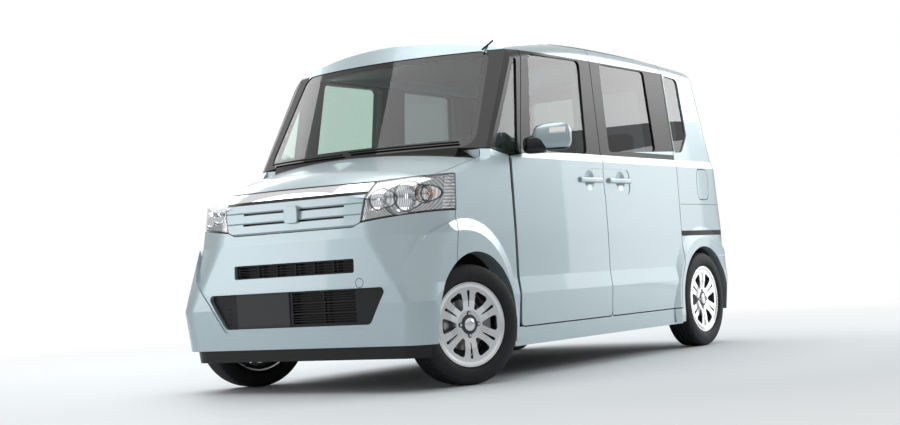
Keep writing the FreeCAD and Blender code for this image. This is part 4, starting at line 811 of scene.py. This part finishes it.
# ---------------------------------------------------------------------------------------------------------
# Camera: near the ground, ahead of the car's left front corner, with a long lens and rolled a little.
# Its back points away from the car; level and upright are its sides before the roll.
# ---------------------------------------------------------------------------------------------------------
CAMERA_AT = (4.52863, -7.20225, 0.51248)
AZIMUTH, ELEVATION, ROLL = np.radians([33.44, -2.29, -3.37])
FOCAL_LENGTH = 61.3816      # mm, for an image 36 mm wide
reach = np.cos(ELEVATION)
back = np.array([np.sin(AZIMUTH) * reach, -np.cos(AZIMUTH) * reach, np.sin(ELEVATION)])
level = np.cross((0, 0, 1), back)
level /= np.linalg.norm(level)
upright = np.cross(back, level)
across = np.cos(ROLL) * level + np.sin(ROLL) * upright
camera = bpy.data.objects.new("camera", bpy.data.cameras.new("camera"))
camera.data.lens = FOCAL_LENGTH
camera.data.clip_end = 100
pose = np.eye(4)
pose[:3] = np.column_stack([across, np.cross(back, across), back, CAMERA_AT])
camera.matrix_world = Matrix(pose)
bpy.context.scene.collection.objects.link(camera)
bpy.context.scene.camera = camera

# ---------------------------------------------------------------------------------------------------------
# Studio: a pale matt floor that keeps the car's shadow and, for the camera, fades into a white backdrop.
# Only the camera, gloss and glass see the bright walls; soft lamps and two cards stand around the car.
# ---------------------------------------------------------------------------------------------------------
FLOOR_HALF = 60
FADE_FROM, FADE_OVER = 2.6, 4.5     # metres from the car's middle
AMBIENT, BACKDROP = 0.34, 1.0       # strength of the white world for plain light, and for the camera
floor_corners = np.array([(-1, -1, 0), (1, -1, 0), (1, 1, 0), (-1, 1, 0)]) * FLOOR_HALF
floor_mesh = bpy.data.meshes.new("floor")
floor_mesh.from_pydata(floor_corners.tolist(), [], [(0, 1, 2, 3)])
floor = bpy.data.objects.new("floor", floor_mesh)
bpy.context.scene.collection.objects.link(floor)
floor_paint, shader, place = finish("pale_floor", (0.82, 0.86, 0.88), 0.6)
x, y, z = place.axes()
distance = (x ** 2 + y ** 2) ** 0.5
fade = ((distance - FADE_FROM) / FADE_OVER).at_least(0.0).at_most(1.0)
glow = place.node("Emission", None, {"Color": (1, 1, 1, 1), "Strength": 1.0})
seen = place.node("LightPath", None, None, "Is Camera Ray")
tree = floor_paint.node_tree
both = place.node("MixShader", None, {0: fade * seen, 1: Shade(tree, shader.outputs[0]), 2: glow})
tree.links.new(both.socket, tree.nodes["Material Output"].inputs["Surface"])
floor_mesh.materials.append(floor_paint)

world = bpy.data.worlds.new("studio")
world.use_nodes = True
bpy.context.scene.world = world
tree = world.node_tree
sky = tree.nodes["Background"]
sky.inputs["Color"].default_value = (1, 1, 1, 1)
paths = tree.nodes.new("ShaderNodeLightPath")
seen, gloss, through = [Shade(tree, paths.outputs[name])
                        for name in ("Is Camera Ray", "Is Glossy Ray", "Is Transmission Ray")]
height = Shade(tree, tree.nodes.new("ShaderNodeTexCoord").outputs["Generated"]).axes()[2]
wall = (height * 4).at_least(0.0).at_most(1.0)     # the walls are darker towards the floor
strength = AMBIENT + seen * (BACKDROP - AMBIENT) + gloss * (1 - seen) * (wall * 0.5 - 0.05)
strength = strength + through * (1 - seen) * (1 - gloss) * (BACKDROP - AMBIENT)
tree.links.new(strength.socket, sky.inputs["Strength"])


def soft_box(name, at, aim, width, height, radiance):
    """A rectangular area lamp at a point, facing another; its power is radiance times pi times area."""
    data = bpy.data.lights.new(name, "AREA")
    data.shape = "RECTANGLE"
    data.size, data.size_y, data.energy = width, height, radiance * np.pi * width * height
    lamp = bpy.data.objects.new(name, data)
    z = np.subtract(at, aim) / np.linalg.norm(np.subtract(at, aim))
    x = np.cross((0, 0, 1) if abs(z[2]) < 0.9 else (0, 1, 0), z)
    x /= np.linalg.norm(x)
    pose = np.eye(4)
    pose[:3] = np.column_stack([x, np.cross(z, x), z, at])
    lamp.matrix_world = Matrix(pose)
    lamp.visible_camera = False
    bpy.context.scene.collection.objects.link(lamp)


soft_box("overhead", (-0.6, -0.6, 6.2), (-0.6, -0.6, 0), 4.6, 6.5, 2.2)
soft_box("rear_left", (4.6, 8.4, 4.35), (0.5, 5.53, 4.35), 9, 3.5, 3.9)
soft_box("rear_right", (-5.4, 5.6, 4.3), (0, -1, 1), 5, 3.2, 1.4)
soft_box("far_side", (-6.5, 1.2, 4.1), (0, 0, 1.3), 5, 3.2, 2.4)
soft_box("rear_card", (2.75, 4.6, 0.9), (0.72, 0.9, 0.75), 1.3, 1.7, 1.8)
soft_box("front_card", (-4.3, -6.2, 1.5), (0, -1.7, 0.7), 1.5, 2.6, 3.2)

bpy.context.scene.view_settings.view_transform = "Standard"
